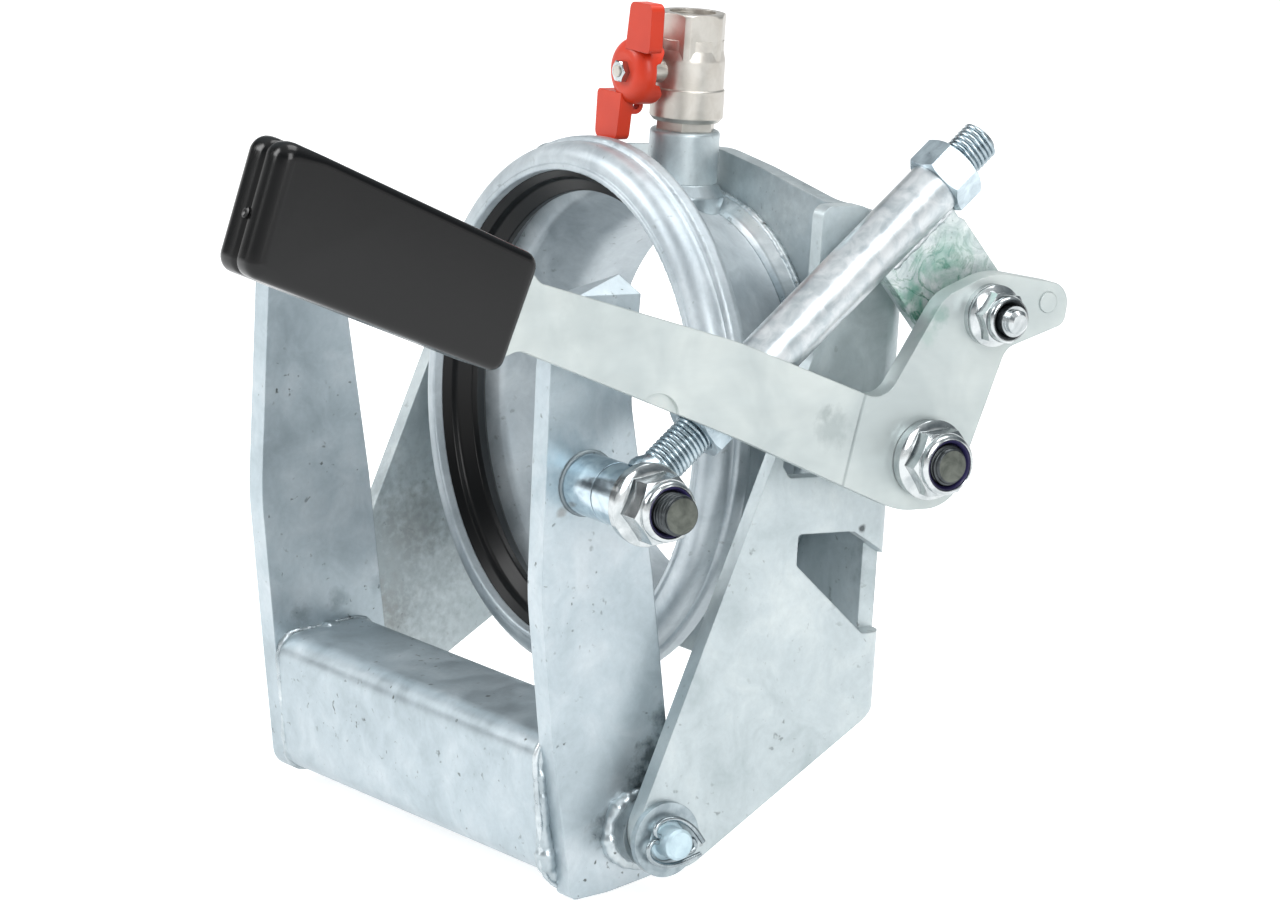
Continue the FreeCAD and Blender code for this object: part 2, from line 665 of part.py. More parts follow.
nodes = {
    "frame_plate": framePlate(),
    "bell_pipe": bellPipe(),
    "mouth_gasket": mouthGasket(),
    "frame_weld": frameWeld(),
    "valve_socket": valveSocket(),
    "socket_weld": socketWeld(),
    "valve_body": valveBody(),
    "valve_end_piece": valveEndPiece(),
    "valve_seat_lower": valveSeat(seatBottomZ, stemZ - 5.5),
    "valve_seat_upper": valveSeat(stemZ + 5.5, threadBottomZ),
    "lever_pivot_boss": leverPivotBoss(),
    "lever_pivot_stud": stud(leverPivot, rodR, wingOuterX + 1, leverOuterX + 18),
    "lever_pivot_washer": tubeX(leverPivot, 15, rodR, leverWasherX, leverWasherX + washerThick),
    "lever_pivot_nut": flangeNut(leverPivot, leverWasherX + washerThick, nutFlats, 15.5, rodR,
                                 leverNutHeight, 20),
    "lever_pivot_insert": nutInsert(leverPivot, leverWasherX + washerThick, rodR, leverNutHeight),
    "pivot_rod": pivotRod(),
    "pivot_washer_right": tubeX(yokePivot, rodWasherR, rodR, wingOuterX, wingOuterX + washerThick),
    "pivot_washer_left": mirrored(tubeX(yokePivot, rodWasherR, rodR, wingOuterX, wingOuterX + washerThick)),
    "split_pin_right": splitPin(1),
    "split_pin_left": splitPin(-1),
    "yoke_arm_right": yokeArmRight(),
    "yoke_arm_left": yokeArmLeft(),
    "yoke_crossbar": yokeCrossbar(),
    "pivot_boss_right": pivotBoss(),
    "pivot_boss_left": mirrored(pivotBoss()),
    "tie_boss": tieBoss(),
    "tie_stud": stud(tiePivot, rodR, armInnerX, tieWasherX + washerThick + tieNutHeight + 10.2),
    "tie_washer": tubeX(tiePivot, 15.5, rodR, tieWasherX, tieWasherX + washerThick),
    "tie_nut": flangeNut(tiePivot, tieWasherX + washerThick, nutFlats, 16, rodR, tieNutHeight, 40),
    "tie_insert": nutInsert(tiePivot, tieWasherX + washerThick, rodR, tieNutHeight),
    "eye_bolt": eyeBolt(),
    "tie_tube": tieTube(),
    "tie_gusset": tieGusset(),
    "lock_nut": tieRodNut(lockNutStart, nutFlats - 2 * sideGap, rodR, tieAngle + 30),
    "adjuster_nut": tieRodNut(tubeEnd, nutFlats, rodR + runFit, tieAngle),
    "lever_plate": leverPlate(),
    "lever_grip": leverGrip(),
    "stop_peg": stopPeg(),
    "link_bolt": linkBolt(),
    "link_spacer": linkSpacer(),
    "link_washer": tubeX(linkPivot, 12, linkBoltR, leverOuterX, leverOuterX + linkWasherThick),
    "link_nut": flangeNut(linkPivot, leverOuterX + linkWasherThick, linkNutFlats, 12, linkBoltR,
                          linkNutHeight, 10),
    "link_insert": nutInsert(linkPivot, leverOuterX + linkWasherThick, linkBoltR, linkNutHeight),
    "valve_handle": valveHandle(),
    "valve_stem": valveStem(),
    "valve_ball": valveBall(),
    "handle_nut": handleNut(),
}

for name, shape in nodes.items():
    print(name, len(shape.Solids), round(shape.Volume), shape.isValid())
    shape.exportStep("parts/" + name + ".step")
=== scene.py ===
from math import cos, pi, radians, sin, tan

import bmesh
import bpy
from mathutils import Matrix, Vector


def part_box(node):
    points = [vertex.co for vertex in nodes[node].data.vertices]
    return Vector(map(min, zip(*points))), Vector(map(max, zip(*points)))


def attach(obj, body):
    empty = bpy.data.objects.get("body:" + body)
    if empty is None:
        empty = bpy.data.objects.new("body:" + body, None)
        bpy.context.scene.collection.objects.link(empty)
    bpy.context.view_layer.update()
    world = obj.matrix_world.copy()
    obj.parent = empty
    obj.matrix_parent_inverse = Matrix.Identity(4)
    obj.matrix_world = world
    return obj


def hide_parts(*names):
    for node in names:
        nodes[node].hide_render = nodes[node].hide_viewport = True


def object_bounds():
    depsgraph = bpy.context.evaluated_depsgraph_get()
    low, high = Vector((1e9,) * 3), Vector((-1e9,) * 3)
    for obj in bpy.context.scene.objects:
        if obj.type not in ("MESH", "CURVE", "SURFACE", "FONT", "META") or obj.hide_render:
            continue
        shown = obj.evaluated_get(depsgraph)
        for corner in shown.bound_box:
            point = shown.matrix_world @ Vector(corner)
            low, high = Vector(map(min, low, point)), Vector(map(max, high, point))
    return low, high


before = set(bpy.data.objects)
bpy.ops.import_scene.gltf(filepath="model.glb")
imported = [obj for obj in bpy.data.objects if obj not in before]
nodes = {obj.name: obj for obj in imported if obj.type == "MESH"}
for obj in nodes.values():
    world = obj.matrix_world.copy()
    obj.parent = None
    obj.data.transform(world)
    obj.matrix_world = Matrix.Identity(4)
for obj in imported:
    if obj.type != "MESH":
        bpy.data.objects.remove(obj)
cadLow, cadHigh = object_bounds()
print("frame loaded:", len(nodes), "nodes")

mm = 0.001

# the pivots' y and z in mm, where rods, studs and bolts lie along x
rodPivot = (-26.5, -142.5)
tiePivot = (-59.5, -6.5)
leverPivot = (61.0, 7.0)
linkPivot = (86.5, 61.5)


# Small helpers

def hexColour(text, alpha=1.0):
    channels = []
    for start in (0, 2, 4):
        value = int(text[start:start + 2], 16) / 255
        channels.append(value / 12.92 if value <= 0.04045 else ((value + 0.055) / 1.055) ** 2.4)
    return (*channels, alpha)


def addNode(tree, kind, settings=None):
    # a setting is a property, or an input by name or number; a node stands for its first live output
    node = tree.nodes.new(kind)
    for key, value in (settings or {}).items():
        if key == "stops":
            elements = node.color_ramp.elements
            while len(elements) < len(value):
                elements.new(0.5)
            for element, (position, colour) in zip(elements, value):
                element.position = position
                element.color = hexColour(colour)
        elif isinstance(key, str) and key in node.bl_rna.properties:
            setattr(node, key, value)
        else:
            for part in value if isinstance(value, list) else [value]:
                if isinstance(part, bpy.types.Node):
                    part = next(socket for socket in part.outputs if socket.enabled)
                if isinstance(part, bpy.types.NodeSocket):
                    tree.links.new(part, node.inputs[key])
                else:
                    node.inputs[key].default_value = part
    return node


def newMaterial(name):
    material = bpy.data.materials.new(name)
    material.use_nodes = True
    tree = material.node_tree
    tree.nodes.clear()
    shader = addNode(tree, "ShaderNodeBsdfPrincipled")
    addNode(tree, "ShaderNodeOutputMaterial", {"Surface": shader})
    place = addNode(tree, "ShaderNodeTexCoord").outputs["Object"]
    return material, tree, shader, place


def unevenSurface(tree, shader, layers, edge=0.0):
    # layers are (height, distance in metres, strength); edge rounds sharp corners a little
    normal = None
    if edge:
        normal = addNode(tree, "ShaderNodeBevel", {"samples": 4, "Radius": edge})
    for height, distance, strength in layers:
        settings = {"Height": height, "Strength": strength, "Distance": distance}
        if normal:
            settings["Normal"] = normal
        normal = addNode(tree, "ShaderNodeBump", settings)
    tree.links.new(normal.outputs[0], shader.inputs["Normal"])


# Materials

zincCoat = {
    "patch": 16 * mm,       # dull and bright clouds in the zinc
    "cloud": 46 * mm,       # slow change of tone over a plate
    "fleck": 2.2 * mm,      # the coat's fine grain, drawn coarse enough to show
    "speck": 3.4 * mm,      # dark ash specks from the bath
    "group": 30 * mm,       # and the size of the areas that have them
    "fray": 4 * mm,         # how coarsely the edge of a mark is torn
    "wave": 14 * mm,        # slow unevenness of the coat
    "edge": 0.7 * mm,       # the coat rounds sharp corners by this
}


def markedColour(tree, place, colour, spots):
    # marks that belong to one spot: (x, y, z, radius) in mm, strength and colour
    fray = addNode(tree, "ShaderNodeTexNoise",
                   {"Vector": place, "Scale": 1 / zincCoat["fray"], "Detail": 3, "Roughness": 0.6})
    for (x, y, z, radius), strength, tone in spots:
        away = addNode(tree, "ShaderNodeVectorMath",
                       {"operation": "DISTANCE", 0: place, 1: (x * mm, y * mm, z * mm)})
        torn = addNode(tree, "ShaderNodeMath",
                       {"operation": "MULTIPLY_ADD", 0: fray, 1: radius * 1.6 * mm, 2: away})
        amount = addNode(tree, "ShaderNodeMapRange",
                         {"Value": torn, "From Min": radius * 1.1 * mm, "From Max": radius * 1.8 * mm,
                          "To Min": strength, "To Max": 0})
        colour = addNode(tree, "ShaderNodeMix",
                         {"data_type": "RGBA", 0: amount, 6: colour, 7: hexColour(tone)})
    return colour


def galvanisedSteel(name, tones, roughness, specks=1.0, wave=1.0, spots=(), metal=0.72):
    # hot-dip galvanised steel: a dull metal with cloudy patches, ash specks and a soft uneven coat
    material, tree, shader, place = newMaterial(name)
    cloud = addNode(tree, "ShaderNodeTexNoise",
                    {"Vector": place, "Scale": 1 / zincCoat["cloud"], "Detail": 2, "Roughness": 0.5,
                     "Distortion": 0.4})
    patch = addNode(tree, "ShaderNodeTexNoise",
                    {"Vector": place, "Scale": 1 / zincCoat["patch"], "Detail": 5, "Roughness": 0.62,
                     "Distortion": 0.8})
    fleck = addNode(tree, "ShaderNodeTexNoise",
                    {"Vector": place, "Scale": 1 / zincCoat["fleck"], "Detail": 3, "Roughness": 0.6})
    share = addNode(tree, "ShaderNodeMath", {"operation": "MULTIPLY", 0: patch, 1: 0.45})
    blend = addNode(tree, "ShaderNodeMath", {"operation": "MULTIPLY_ADD", 0: cloud, 1: 0.55, 2: share})
    colour = addNode(tree, "ShaderNodeValToRGB",
                     {"Fac": blend, "stops": [(0.36, tones[0]), (0.5, tones[1]), (0.64, tones[2])]})
    fine = addNode(tree, "ShaderNodeMapRange",
                   {"Value": fleck, "From Min": 0.3, "From Max": 0.7, "To Min": 0.95, "To Max": 1.02})
    colour = addNode(tree, "ShaderNodeMix",
                     {"data_type": "RGBA", "blend_type": "MULTIPLY", 0: 1.0, 6: colour, 7: fine})
    ash = addNode(tree, "ShaderNodeTexNoise",
                  {"Vector": place, "Scale": 1 / zincCoat["speck"], "Detail": 2, "Roughness": 0.5,
                   "Distortion": 0.3})
    strong = addNode(tree, "ShaderNodeMapRange",
                     {"Value": ash, "From Min": 0.66, "From Max": 0.74,
                      "To Min": 0, "To Max": 0.55 * specks})
    where = addNode(tree, "ShaderNodeTexNoise",
                    {"Vector": place, "Scale": 1 / zincCoat["group"], "Detail": 1})
    there = addNode(tree, "ShaderNodeMapRange", {"Value": where, "From Min": 0.42, "From Max": 0.62})
    speck = addNode(tree, "ShaderNodeMath", {"operation": "MULTIPLY", 0: strong, 1: there})
    colour = addNode(tree, "ShaderNodeMix",
                     {"data_type": "RGBA", 0: speck, 6: colour, 7: hexColour("5A5F5E")})
    colour = markedColour(tree, place, colour, spots)
    dull = addNode(tree, "ShaderNodeMapRange",
                   {"Value": patch, "From Min": 0.3, "From Max": 0.7,
                    "To Min": roughness - 0.05, "To Max": roughness + 0.07})
    tree.links.new(colour.outputs[2], shader.inputs["Base Color"])
    tree.links.new(dull.outputs[0], shader.inputs["Roughness"])
    shader.inputs["Metallic"].default_value = metal
    swell = addNode(tree, "ShaderNodeTexNoise",
                    {"Vector": place, "Scale": 1 / zincCoat["wave"], "Detail": 2, "Roughness": 0.5})
    unevenSurface(tree, shader, [(swell, 0.25 * mm * wave, 0.3), (fleck, 0.05 * mm * wave, 0.3)],
                  zincCoat["edge"])
    return material


leverCoat = {
    "cloud": 34 * mm,
    "streak": 9 * mm,
    "lineWay": (0, 0.9767, -0.2147),    # the pressed line stands square to this direction
    "linePlace": 23.5 * mm,
    "lineEdge": (0.25 * mm, 0.9 * mm),  # full up to the first distance from its middle, gone at the second
    "lineTop": (33 * mm, 36 * mm),      # and it fades out between these heights
}


def leverFinish():
    # flame-cut bar with a pale even coat, a pressed line across it darkened by painted shade, and a grey
    # smear beside the line
    material, tree, shader, place = newMaterial("galvanised flame-cut lever")
    cloud = addNode(tree, "ShaderNodeTexNoise",
                    {"Vector": place, "Scale": 1 / leverCoat["cloud"], "Detail": 3, "Roughness": 0.55,
                     "Distortion": 0.5})
    colour = addNode(tree, "ShaderNodeValToRGB",
                     {"Fac": cloud, "stops": [(0.35, "B8C1C1"), (0.52, "C4CCCB"), (0.68, "CFD6D4")]})
    grain = addNode(tree, "ShaderNodeMapping",
                    {"Vector": place, "Scale": (1, 0.3, 1), "Rotation": (radians(-22), 0, 0)})
    streak = addNode(tree, "ShaderNodeTexNoise",
                     {"Vector": grain, "Scale": 1 / leverCoat["streak"], "Detail": 4, "Roughness": 0.6})
    faint = addNode(tree, "ShaderNodeMapRange",
                    {"Value": streak, "From Min": 0.3, "From Max": 0.7, "To Min": 0.95, "To Max": 1.03})
    colour = addNode(tree, "ShaderNodeMix",
                     {"data_type": "RGBA", "blend_type": "MULTIPLY", 0: 1.0, 6: colour, 7: faint})
    colour = markedColour(tree, place, colour, [
        ((158, 17.0, 20.5, 9.0), 0.34, "7E8A8C"),
        ((158, 13.0, 26.0, 4.0), 0.3, "6F7B7D"),
        ((158, -63.0, 27.0, 8.0), 0.35, "D9D2CE"),
        ((158, -100.0, 66.0, 14.0), 0.3, "AEB8B8"),
        ((158, 63.0, 62.0, 5.0), 0.5, "6F9A8E"),        # green run beside the gusset
        ((158, 58.0, 54.0, 5.0), 0.35, "86A79E"),
    ])
    # the line stands square to a slanted direction and stops below the notch
    slant = addNode(tree, "ShaderNodeVectorMath",
                    {"operation": "DOT_PRODUCT", 0: place, 1: leverCoat["lineWay"]})
    offset = addNode(tree, "ShaderNodeMath",
                     {"operation": "SUBTRACT", 0: slant, 1: leverCoat["linePlace"]})
    near = addNode(tree, "ShaderNodeMath", {"operation": "ABSOLUTE", 0: offset})
    full, gone = leverCoat["lineEdge"]
    line = addNode(tree, "ShaderNodeMapRange",
                   {"Value": near, "From Min": full, "From Max": gone, "To Min": 1, "To Max": 0})
    height = addNode(tree, "ShaderNodeSeparateXYZ", {"Vector": place}).outputs["Z"]
    low, high = leverCoat["lineTop"]
    below = addNode(tree, "ShaderNodeMapRange",
                    {"Value": height, "From Min": low, "From Max": high, "To Min": 1, "To Max": 0})
    crease = addNode(tree, "ShaderNodeMath", {"operation": "MULTIPLY", 0: line, 1: below})
    # painted shade in the pressed line: the line's colour is darkened toward grey
    creaseShade = addNode(tree, "ShaderNodeMath", {"operation": "MULTIPLY", 0: crease, 1: 0.45})
    colour = addNode(tree, "ShaderNodeMix",
                     {"data_type": "RGBA", 0: creaseShade, 6: colour, 7: hexColour("7B8688")})
    dull = addNode(tree, "ShaderNodeMapRange",
                   {"Value": cloud, "From Min": 0.3, "From Max": 0.7, "To Min": 0.40, "To Max": 0.5})
    tree.links.new(colour.outputs[2], shader.inputs["Base Color"])
    tree.links.new(dull.outputs[0], shader.inputs["Roughness"])
    shader.inputs["Metallic"].default_value = 0.6
    fleck = addNode(tree, "ShaderNodeTexNoise",
                    {"Vector": place, "Scale": 1 / zincCoat["fleck"], "Detail": 3, "Roughness": 0.6})
    unevenSurface(tree, shader, [(fleck, 0.04 * mm, 0.3), (crease, -0.3 * mm, 0.6)], zincCoat["edge"])
    return material


stain = {
    "source": (142, 73.0, 61.0),    # where plate and lever meet, in mm
    "full": 6 * mm,                 # the green is full up to this distance from there
    "reach": 36 * mm,               # and gone at this one
    "vein": 15 * mm,
    "blot": 12 * mm,
    "patch": 9 * mm,                # bright and dull patches of the zinc
    "grain": 1.7 * mm,              # pits of the ground steel, drawn coarse enough to show
}


def gussetFinish():
    # bright zinc over rough ground steel, with green runs in veins that thicken toward the lever
    material, tree, shader, place = newMaterial("green-stained galvanised gusset")
    patch = addNode(tree, "ShaderNodeTexNoise",
                    {"Vector": place, "Scale": 1 / stain["patch"], "Detail": 5, "Roughness": 0.65,
                     "Distortion": 0.8})
    colour = addNode(tree, "ShaderNodeValToRGB",
                     {"Fac": patch, "stops": [(0.34, "B9C6C7"), (0.5, "D6DFDF"), (0.64, "EDF1F1")]})
    away = addNode(tree, "ShaderNodeVectorMath",
                   {"operation": "DISTANCE", 0: place, 1: tuple(part * mm for part in stain["source"])})
    near = addNode(tree, "ShaderNodeMapRange",
                   {"Value": away, "From Min": stain["full"], "From Max": stain["reach"],
                    "To Min": 1, "To Max": 0})
    web = addNode(tree, "ShaderNodeTexNoise",
                  {"Vector": place, "Scale": 1 / stain["vein"], "Detail": 5, "Roughness": 0.6,
                   "Distortion": 1.6})
    middle = addNode(tree, "ShaderNodeMath", {"operation": "SUBTRACT", 0: web, 1: 0.5})
    apart = addNode(tree, "ShaderNodeMath", {"operation": "ABSOLUTE", 0: middle})
    vein = addNode(tree, "ShaderNodeMapRange",
                   {"Value": apart, "From Min": 0.0, "From Max": 0.045, "To Min": 0.9, "To Max": 0})
    blot = addNode(tree, "ShaderNodeTexNoise",
                   {"Vector": place, "Scale": 1 / stain["blot"], "Detail": 4, "Roughness": 0.6,
                    "Distortion": 0.6})
    wide = addNode(tree, "ShaderNodeMapRange",
                   {"Value": blot, "From Min": 0.44, "From Max": 0.66, "To Min": 0, "To Max": 0.9})
    for mark, tone in ((wide, "55A98E"), (vein, "1F7D5F")):
        amount = addNode(tree, "ShaderNodeMath", {"operation": "MULTIPLY", 0: mark, 1: near})
        colour = addNode(tree, "ShaderNodeMix",
                         {"data_type": "RGBA", 0: amount, 6: colour, 7: hexColour(tone)})
    grain = addNode(tree, "ShaderNodeTexNoise",
                    {"Vector": place, "Scale": 1 / stain["grain"], "Detail": 3, "Roughness": 0.65})
    pit = addNode(tree, "ShaderNodeMapRange",
                  {"Value": grain, "From Min": 0.64, "From Max": 0.72, "To Min": 0, "To Max": 0.5})
    colour = addNode(tree, "ShaderNodeMix",
                     {"data_type": "RGBA", 0: pit, 6: colour, 7: hexColour("4E5C5B")})
    tree.links.new(colour.outputs[2], shader.inputs["Base Color"])
    shader.inputs["Metallic"].default_value = 0.6
    shader.inputs["Roughness"].default_value = 0.42
    unevenSurface(tree, shader, [(patch, 0.35 * mm, 0.4), (grain, 0.12 * mm, 0.4)], zincCoat["edge"])
    return material


thinCoat = {
    "cloud": 7 * mm,        # bright and dull places on plated metal
    "ripple": 2.4 * mm,     # handling marks, drawn coarse enough to show
    "flow": 22 * mm,        # slow change of tone on a moulded piece
}


def brightMetal(name, tone, dark, roughness, metallic=1.0, grain=(1, 1, 1), edge=0.3 * mm, wave=1.0):
    # plated steel or brass: a thin bright coat with faint handling marks
    material, tree, shader, place = newMaterial(name)
    cloud = addNode(tree, "ShaderNodeTexNoise",
                    {"Vector": place, "Scale": 1 / thinCoat["cloud"], "Detail": 3, "Roughness": 0.6,
                     "Distortion": 0.5})
    colour = addNode(tree, "ShaderNodeValToRGB", {"Fac": cloud, "stops": [(0.35, dark), (0.62, tone)]})
    dull = addNode(tree, "ShaderNodeMapRange",
                   {"Value": cloud, "From Min": 0.3, "From Max": 0.7,
                    "To Min": roughness - 0.03, "To Max": roughness + 0.06})
    tree.links.new(colour.outputs[0], shader.inputs["Base Color"])
    tree.links.new(dull.outputs[0], shader.inputs["Roughness"])
    shader.inputs["Metallic"].default_value = metallic
    along = addNode(tree, "ShaderNodeMapping", {"Vector": place, "Scale": grain})
    ripple = addNode(tree, "ShaderNodeTexNoise",
                     {"Vector": along, "Scale": 1 / thinCoat["ripple"], "Detail": 2, "Roughness": 0.5})
    unevenSurface(tree, shader, [(ripple, 0.02 * mm * wave, 0.3)], edge)
    return material


def mouldedPlastic(name, tone, sheen, roughness, pit, shine=0.5, edge=0.0, coat=0.0):
    # rubber or moulded plastic: one even colour under the mould's fine skin, drawn coarse enough to show
    material, tree, shader, place = newMaterial(name)
    cloud = addNode(tree, "ShaderNodeTexNoise",
                    {"Vector": place, "Scale": 1 / thinCoat["flow"], "Detail": 2, "Roughness": 0.5})
    colour = addNode(tree, "ShaderNodeValToRGB", {"Fac": cloud, "stops": [(0.3, tone), (0.7, sheen)]})
    tree.links.new(colour.outputs[0], shader.inputs["Base Color"])
    shader.inputs["Roughness"].default_value = roughness
    shader.inputs["Specular IOR Level"].default_value = shine
    shader.inputs["Coat Weight"].default_value = coat
    shader.inputs["Coat Roughness"].default_value = 0.12
    skin = addNode(tree, "ShaderNodeTexNoise",
                   {"Vector": place, "Scale": 1 / pit, "Detail": 2, "Roughness": 0.6})
    unevenSurface(tree, shader, [(skin, 0.03 * mm, 0.25)], edge)
    return material


wingSpots = [
    ((126.6, 28.3, -35.0, 1.5), 0.85, "3B4043"),        # pits where the notch was started
    ((126.6, 56.6, -26.5, 1.9), 0.85, "3B4043"),
    ((126.6, 53.0, -28.0, 1.0), 0.8, "3B4043"),
    ((126.6, -38.0, -146.0, 7.0), 0.35, "7C8688"),
    ((-119.6, -10.0, -90.0, 55.0), 0.55, "7F888B"),     # painted shade inside the left wing, a dull grey
    ((60.0, 68.0, 62.0, 50.0), 0.4, "8E989C"),          # and painted shade on the web behind the bell
    ((119.0, 52.0, -44.0, 16.0), 0.5, "6C7578"),
    ((-119.6, -10.0, -110.0, 22.0), 0.35, "7A746B"),
    ((-119.6, 10.0, -70.0, 18.0), 0.28, "7E7C77"),
]
armSpots = [
    ((108.8, -40.0, -142.0, 9.0), 0.6, "566064"),       # painted shadow in the gap behind the wing's edge
    ((108.8, -30.0, -143.0, 12.0), 0.9, "343C3F"),
    ((108.8, -25.0, -129.0, 11.0), 0.85, "3A4346"),
    ((108.8, -21.0, -115.0, 9.5), 0.8, "434C50"),
    ((108.8, -16.5, -101.0, 8.0), 0.7, "4C565A"),
    ((108.8, -64.5, -2.0, 17.0), 0.4, "86A0AC"),        # bluish halo round the tie boss
    ((108.8, -70.0, -17.0, 3.0), 0.45, "7A6A5C"),
    ((-98.8, -60.0, 20.0, 26.0), 0.22, "9AA8B0"),
    ((-98.8, -56.0, -101.0, 6.0), 0.5, "6F7C82"),       # dull zinc above the crossbar's weld
    ((-98.8, -38.0, -95.0, 6.0), 0.5, "6F7C82"),
    ((-98.8, -19.0, -90.0, 5.0), 0.4, "7F8C92"),
]
# sheet from the zinc bath: pale, cloudy and dull
plateZinc = galvanisedSteel("hot-dip galvanised plate", ("ACB7BA", "BFC9CC", "CFD7D8"), 0.42, 1.0, 0.8,
                            wingSpots)
# flat bar from the same bath: a little darker and bluer, with more ash specks
armZinc = galvanisedSteel("hot-dip galvanised bar", ("A4B0B6", "B6C2C8", "C8D1D6"), 0.38, 1.7, 0.7,
                          armSpots)
# small fitting: the palest coat of zinc, with few specks
paleZinc = galvanisedSteel("pale galvanised fitting", ("BAC5C9", "CED8DB", "DFE6E8"), 0.4, 0.8)
leverZinc = leverFinish()
# pressed sheet: an even satin coat, whose curves show as soft bands
bellZinc = galvanisedSteel("galvanised pressed bell", ("A3ADB3", "BAC3C8", "CED6DA"), 0.46, 0.9, 0.6,
                           metal=0.62)
gussetZinc = gussetFinish()
# zinc over weld metal: blotchy and full of specks, in a plain, a bright and a dull form
weldZinc = galvanisedSteel("galvanised weld", ("8D989D", "AEB9BE", "CDD5D8"), 0.32, 1.6, 1.0, metal=0.8)
beadZinc = galvanisedSteel("bright galvanised weld", ("8A959A", "C2CBCF", "EDF1F2"), 0.28, 1.8, 1.2,
                           metal=0.8)
dullWeld = galvanisedSteel("dull galvanised weld", ("646E73", "7F898E", "9BA5A9"), 0.42, 1.6, 1.2,
                           metal=0.7)
# electroplated steel: a thin smooth coat, brighter or duller, often with a blue cast
boltZinc = brightMetal("bright zinc plate", "C6CACB", "A8AEB0", 0.15, wave=0.4)
blueZinc = brightMetal("blue-passivated zinc plate", "CBD9E0", "A9B7BF", 0.30, 0.85)
rodZinc = brightMetal("pale blue zinc plate", "CFE4EC", "BCD2DC", 0.45, 0.5)
washerZinc = brightMetal("dull zinc washer", "AEBABF", "8F9BA1", 0.36, 0.8)
threadZinc = brightMetal("zinc-plated thread", "B4C1C7", "8998A0", 0.26)
bossZinc = brightMetal("bright drawn zinc", "C9D8E0", "A6B6C0", 0.17)
pinZinc = brightMetal("grey zinc wire", "A9B2B6", "7F898E", 0.22)
# drawn tube: a bright wavy coat, its waves twice as long in the plane that the tube lies in
tubeZinc = brightMetal("drawn galvanised tube", "D6DADC", "B5BEC2", 0.34, 0.9, (1, 0.5, 0.5), wave=6)
# sawn end and worn thread with little zinc left: dark and dull
rodFace = brightMetal("cut bolt end", "6C7069", "4C504B", 0.45, 0.7, wave=4)
dullThread = brightMetal("dull zinc thread", "54585A", "34383A", 0.35, 0.9)
# nickel over brass: satin, with a warm cast
nickel = brightMetal("nickel-plated brass", "CCC8C1", "BFBAB2", 0.38, 0.9)
# black plastic with a gloss, and black rubber that is a little duller
gripBlack = mouldedPlastic("moulded plastic grip", "050506", "080809", 0.21, 1.0 * mm, 0.36)
gasketBlack = mouldedPlastic("moulded rubber", "020203", "050506", 0.3, 2.0 * mm, 0.25, coat=0.03)
# the valve's ball seats: a smooth warm white
sealWhite = mouldedPlastic("white sealing plastic", "E0DED8", "EAE8E2", 0.4, 2.0 * mm)
# stoved enamel: strong in colour and smooth, with a slight orange peel
redEnamel = mouldedPlastic("red enamelled casting", "CF3416", "DE3F1E", 0.42, 1.4 * mm, 0.4, 0.5 * mm, 0.1)
# dyed nylon: dark, with a soft sheen
blueNylon = mouldedPlastic("blue nylon ring", "1A1736", "3A3566", 0.3, 1.0 * mm)
greyNylon = mouldedPlastic("grey nylon ring", "1D2022", "303538", 0.3, 1.0 * mm)
print("materials made")

finishOf = {
    "frame_plate": plateZinc, "bell_pipe": bellZinc, "mouth_gasket": gasketBlack,
    "frame_weld": weldZinc, "valve_socket": paleZinc, "socket_weld": weldZinc,
    "valve_body": nickel, "valve_end_piece": nickel, "valve_seat_lower": sealWhite,
    "valve_seat_upper": sealWhite, "lever_pivot_boss": plateZinc, "lever_pivot_stud": rodFace,
    "pivot_rod": rodZinc, "yoke_arm_right": armZinc, "yoke_arm_left": armZinc,
    "pivot_washer_right": washerZinc, "pivot_washer_left": washerZinc,
    "yoke_crossbar": armZinc, "pivot_boss_right": dullWeld, "pivot_boss_left": dullWeld,
    "tie_boss": bossZinc, "tie_stud": rodFace, "eye_bolt": threadZinc, "tie_tube": tubeZinc,
    "tie_gusset": gussetZinc, "lever_plate": leverZinc, "lever_grip": gripBlack,
    "stop_peg": leverZinc, "link_spacer": boltZinc, "valve_handle": redEnamel,
    "valve_stem": nickel, "valve_ball": nickel, "handle_nut": boltZinc,
}
for name, node in nodes.items():
    node.data.materials.clear()
    node.data.materials.append(finishOf.get(name, boltZinc))


# Camera, light and floor

cameraPlace = {
    "place": (2.38889, -1.58082, 0.50866),
    "right": (0.54979, 0.83281, 0.06451),
    "up": (-0.18532, 0.04631, 0.98159),
    "back": (0.81449, -0.55162, 0.17980),
    "lens": 207.87,
}


def makeCamera():
    data = bpy.data.cameras.new("camera")
    data.lens = cameraPlace["lens"]
    data.sensor_width = 36
    data.clip_end = 50
    camera = bpy.data.objects.new("camera", data)
    bpy.context.scene.collection.objects.link(camera)
    axes = Matrix((cameraPlace["right"], cameraPlace["up"], cameraPlace["back"])).transposed()
    camera.matrix_world = Matrix.Translation(cameraPlace["place"]) @ axes.to_4x4()
    bpy.context.scene.camera = camera


# soft boxes aimed at the pipe's axis; sizes in metres, power in watts
lamps = {
    "front left soft box": {"place": (-1.6, -2.2, 1.7), "size": (1.6, 1.6), "power": 54},
    "right soft box": {"place": (2.6, -0.6, 1.4), "size": (1.2, 1.8), "power": 43},
    "top soft box": {"place": (0.2, 0.6, 2.6), "size": (1.8, 1.8), "power": 40},
}


def makeLamp(name, facts):
    data = bpy.data.lights.new(name, "AREA")
    data.shape = "RECTANGLE"
    data.size, data.size_y = facts["size"]
    data.energy = facts["power"]
    lamp = bpy.data.objects.new(name, data)
    bpy.context.scene.collection.objects.link(lamp)
    lamp.location = facts["place"]
    lamp.rotation_mode = "QUATERNION"
    lamp.rotation_quaternion = (-Vector(facts["place"])).to_track_quat("-Z", "Y")


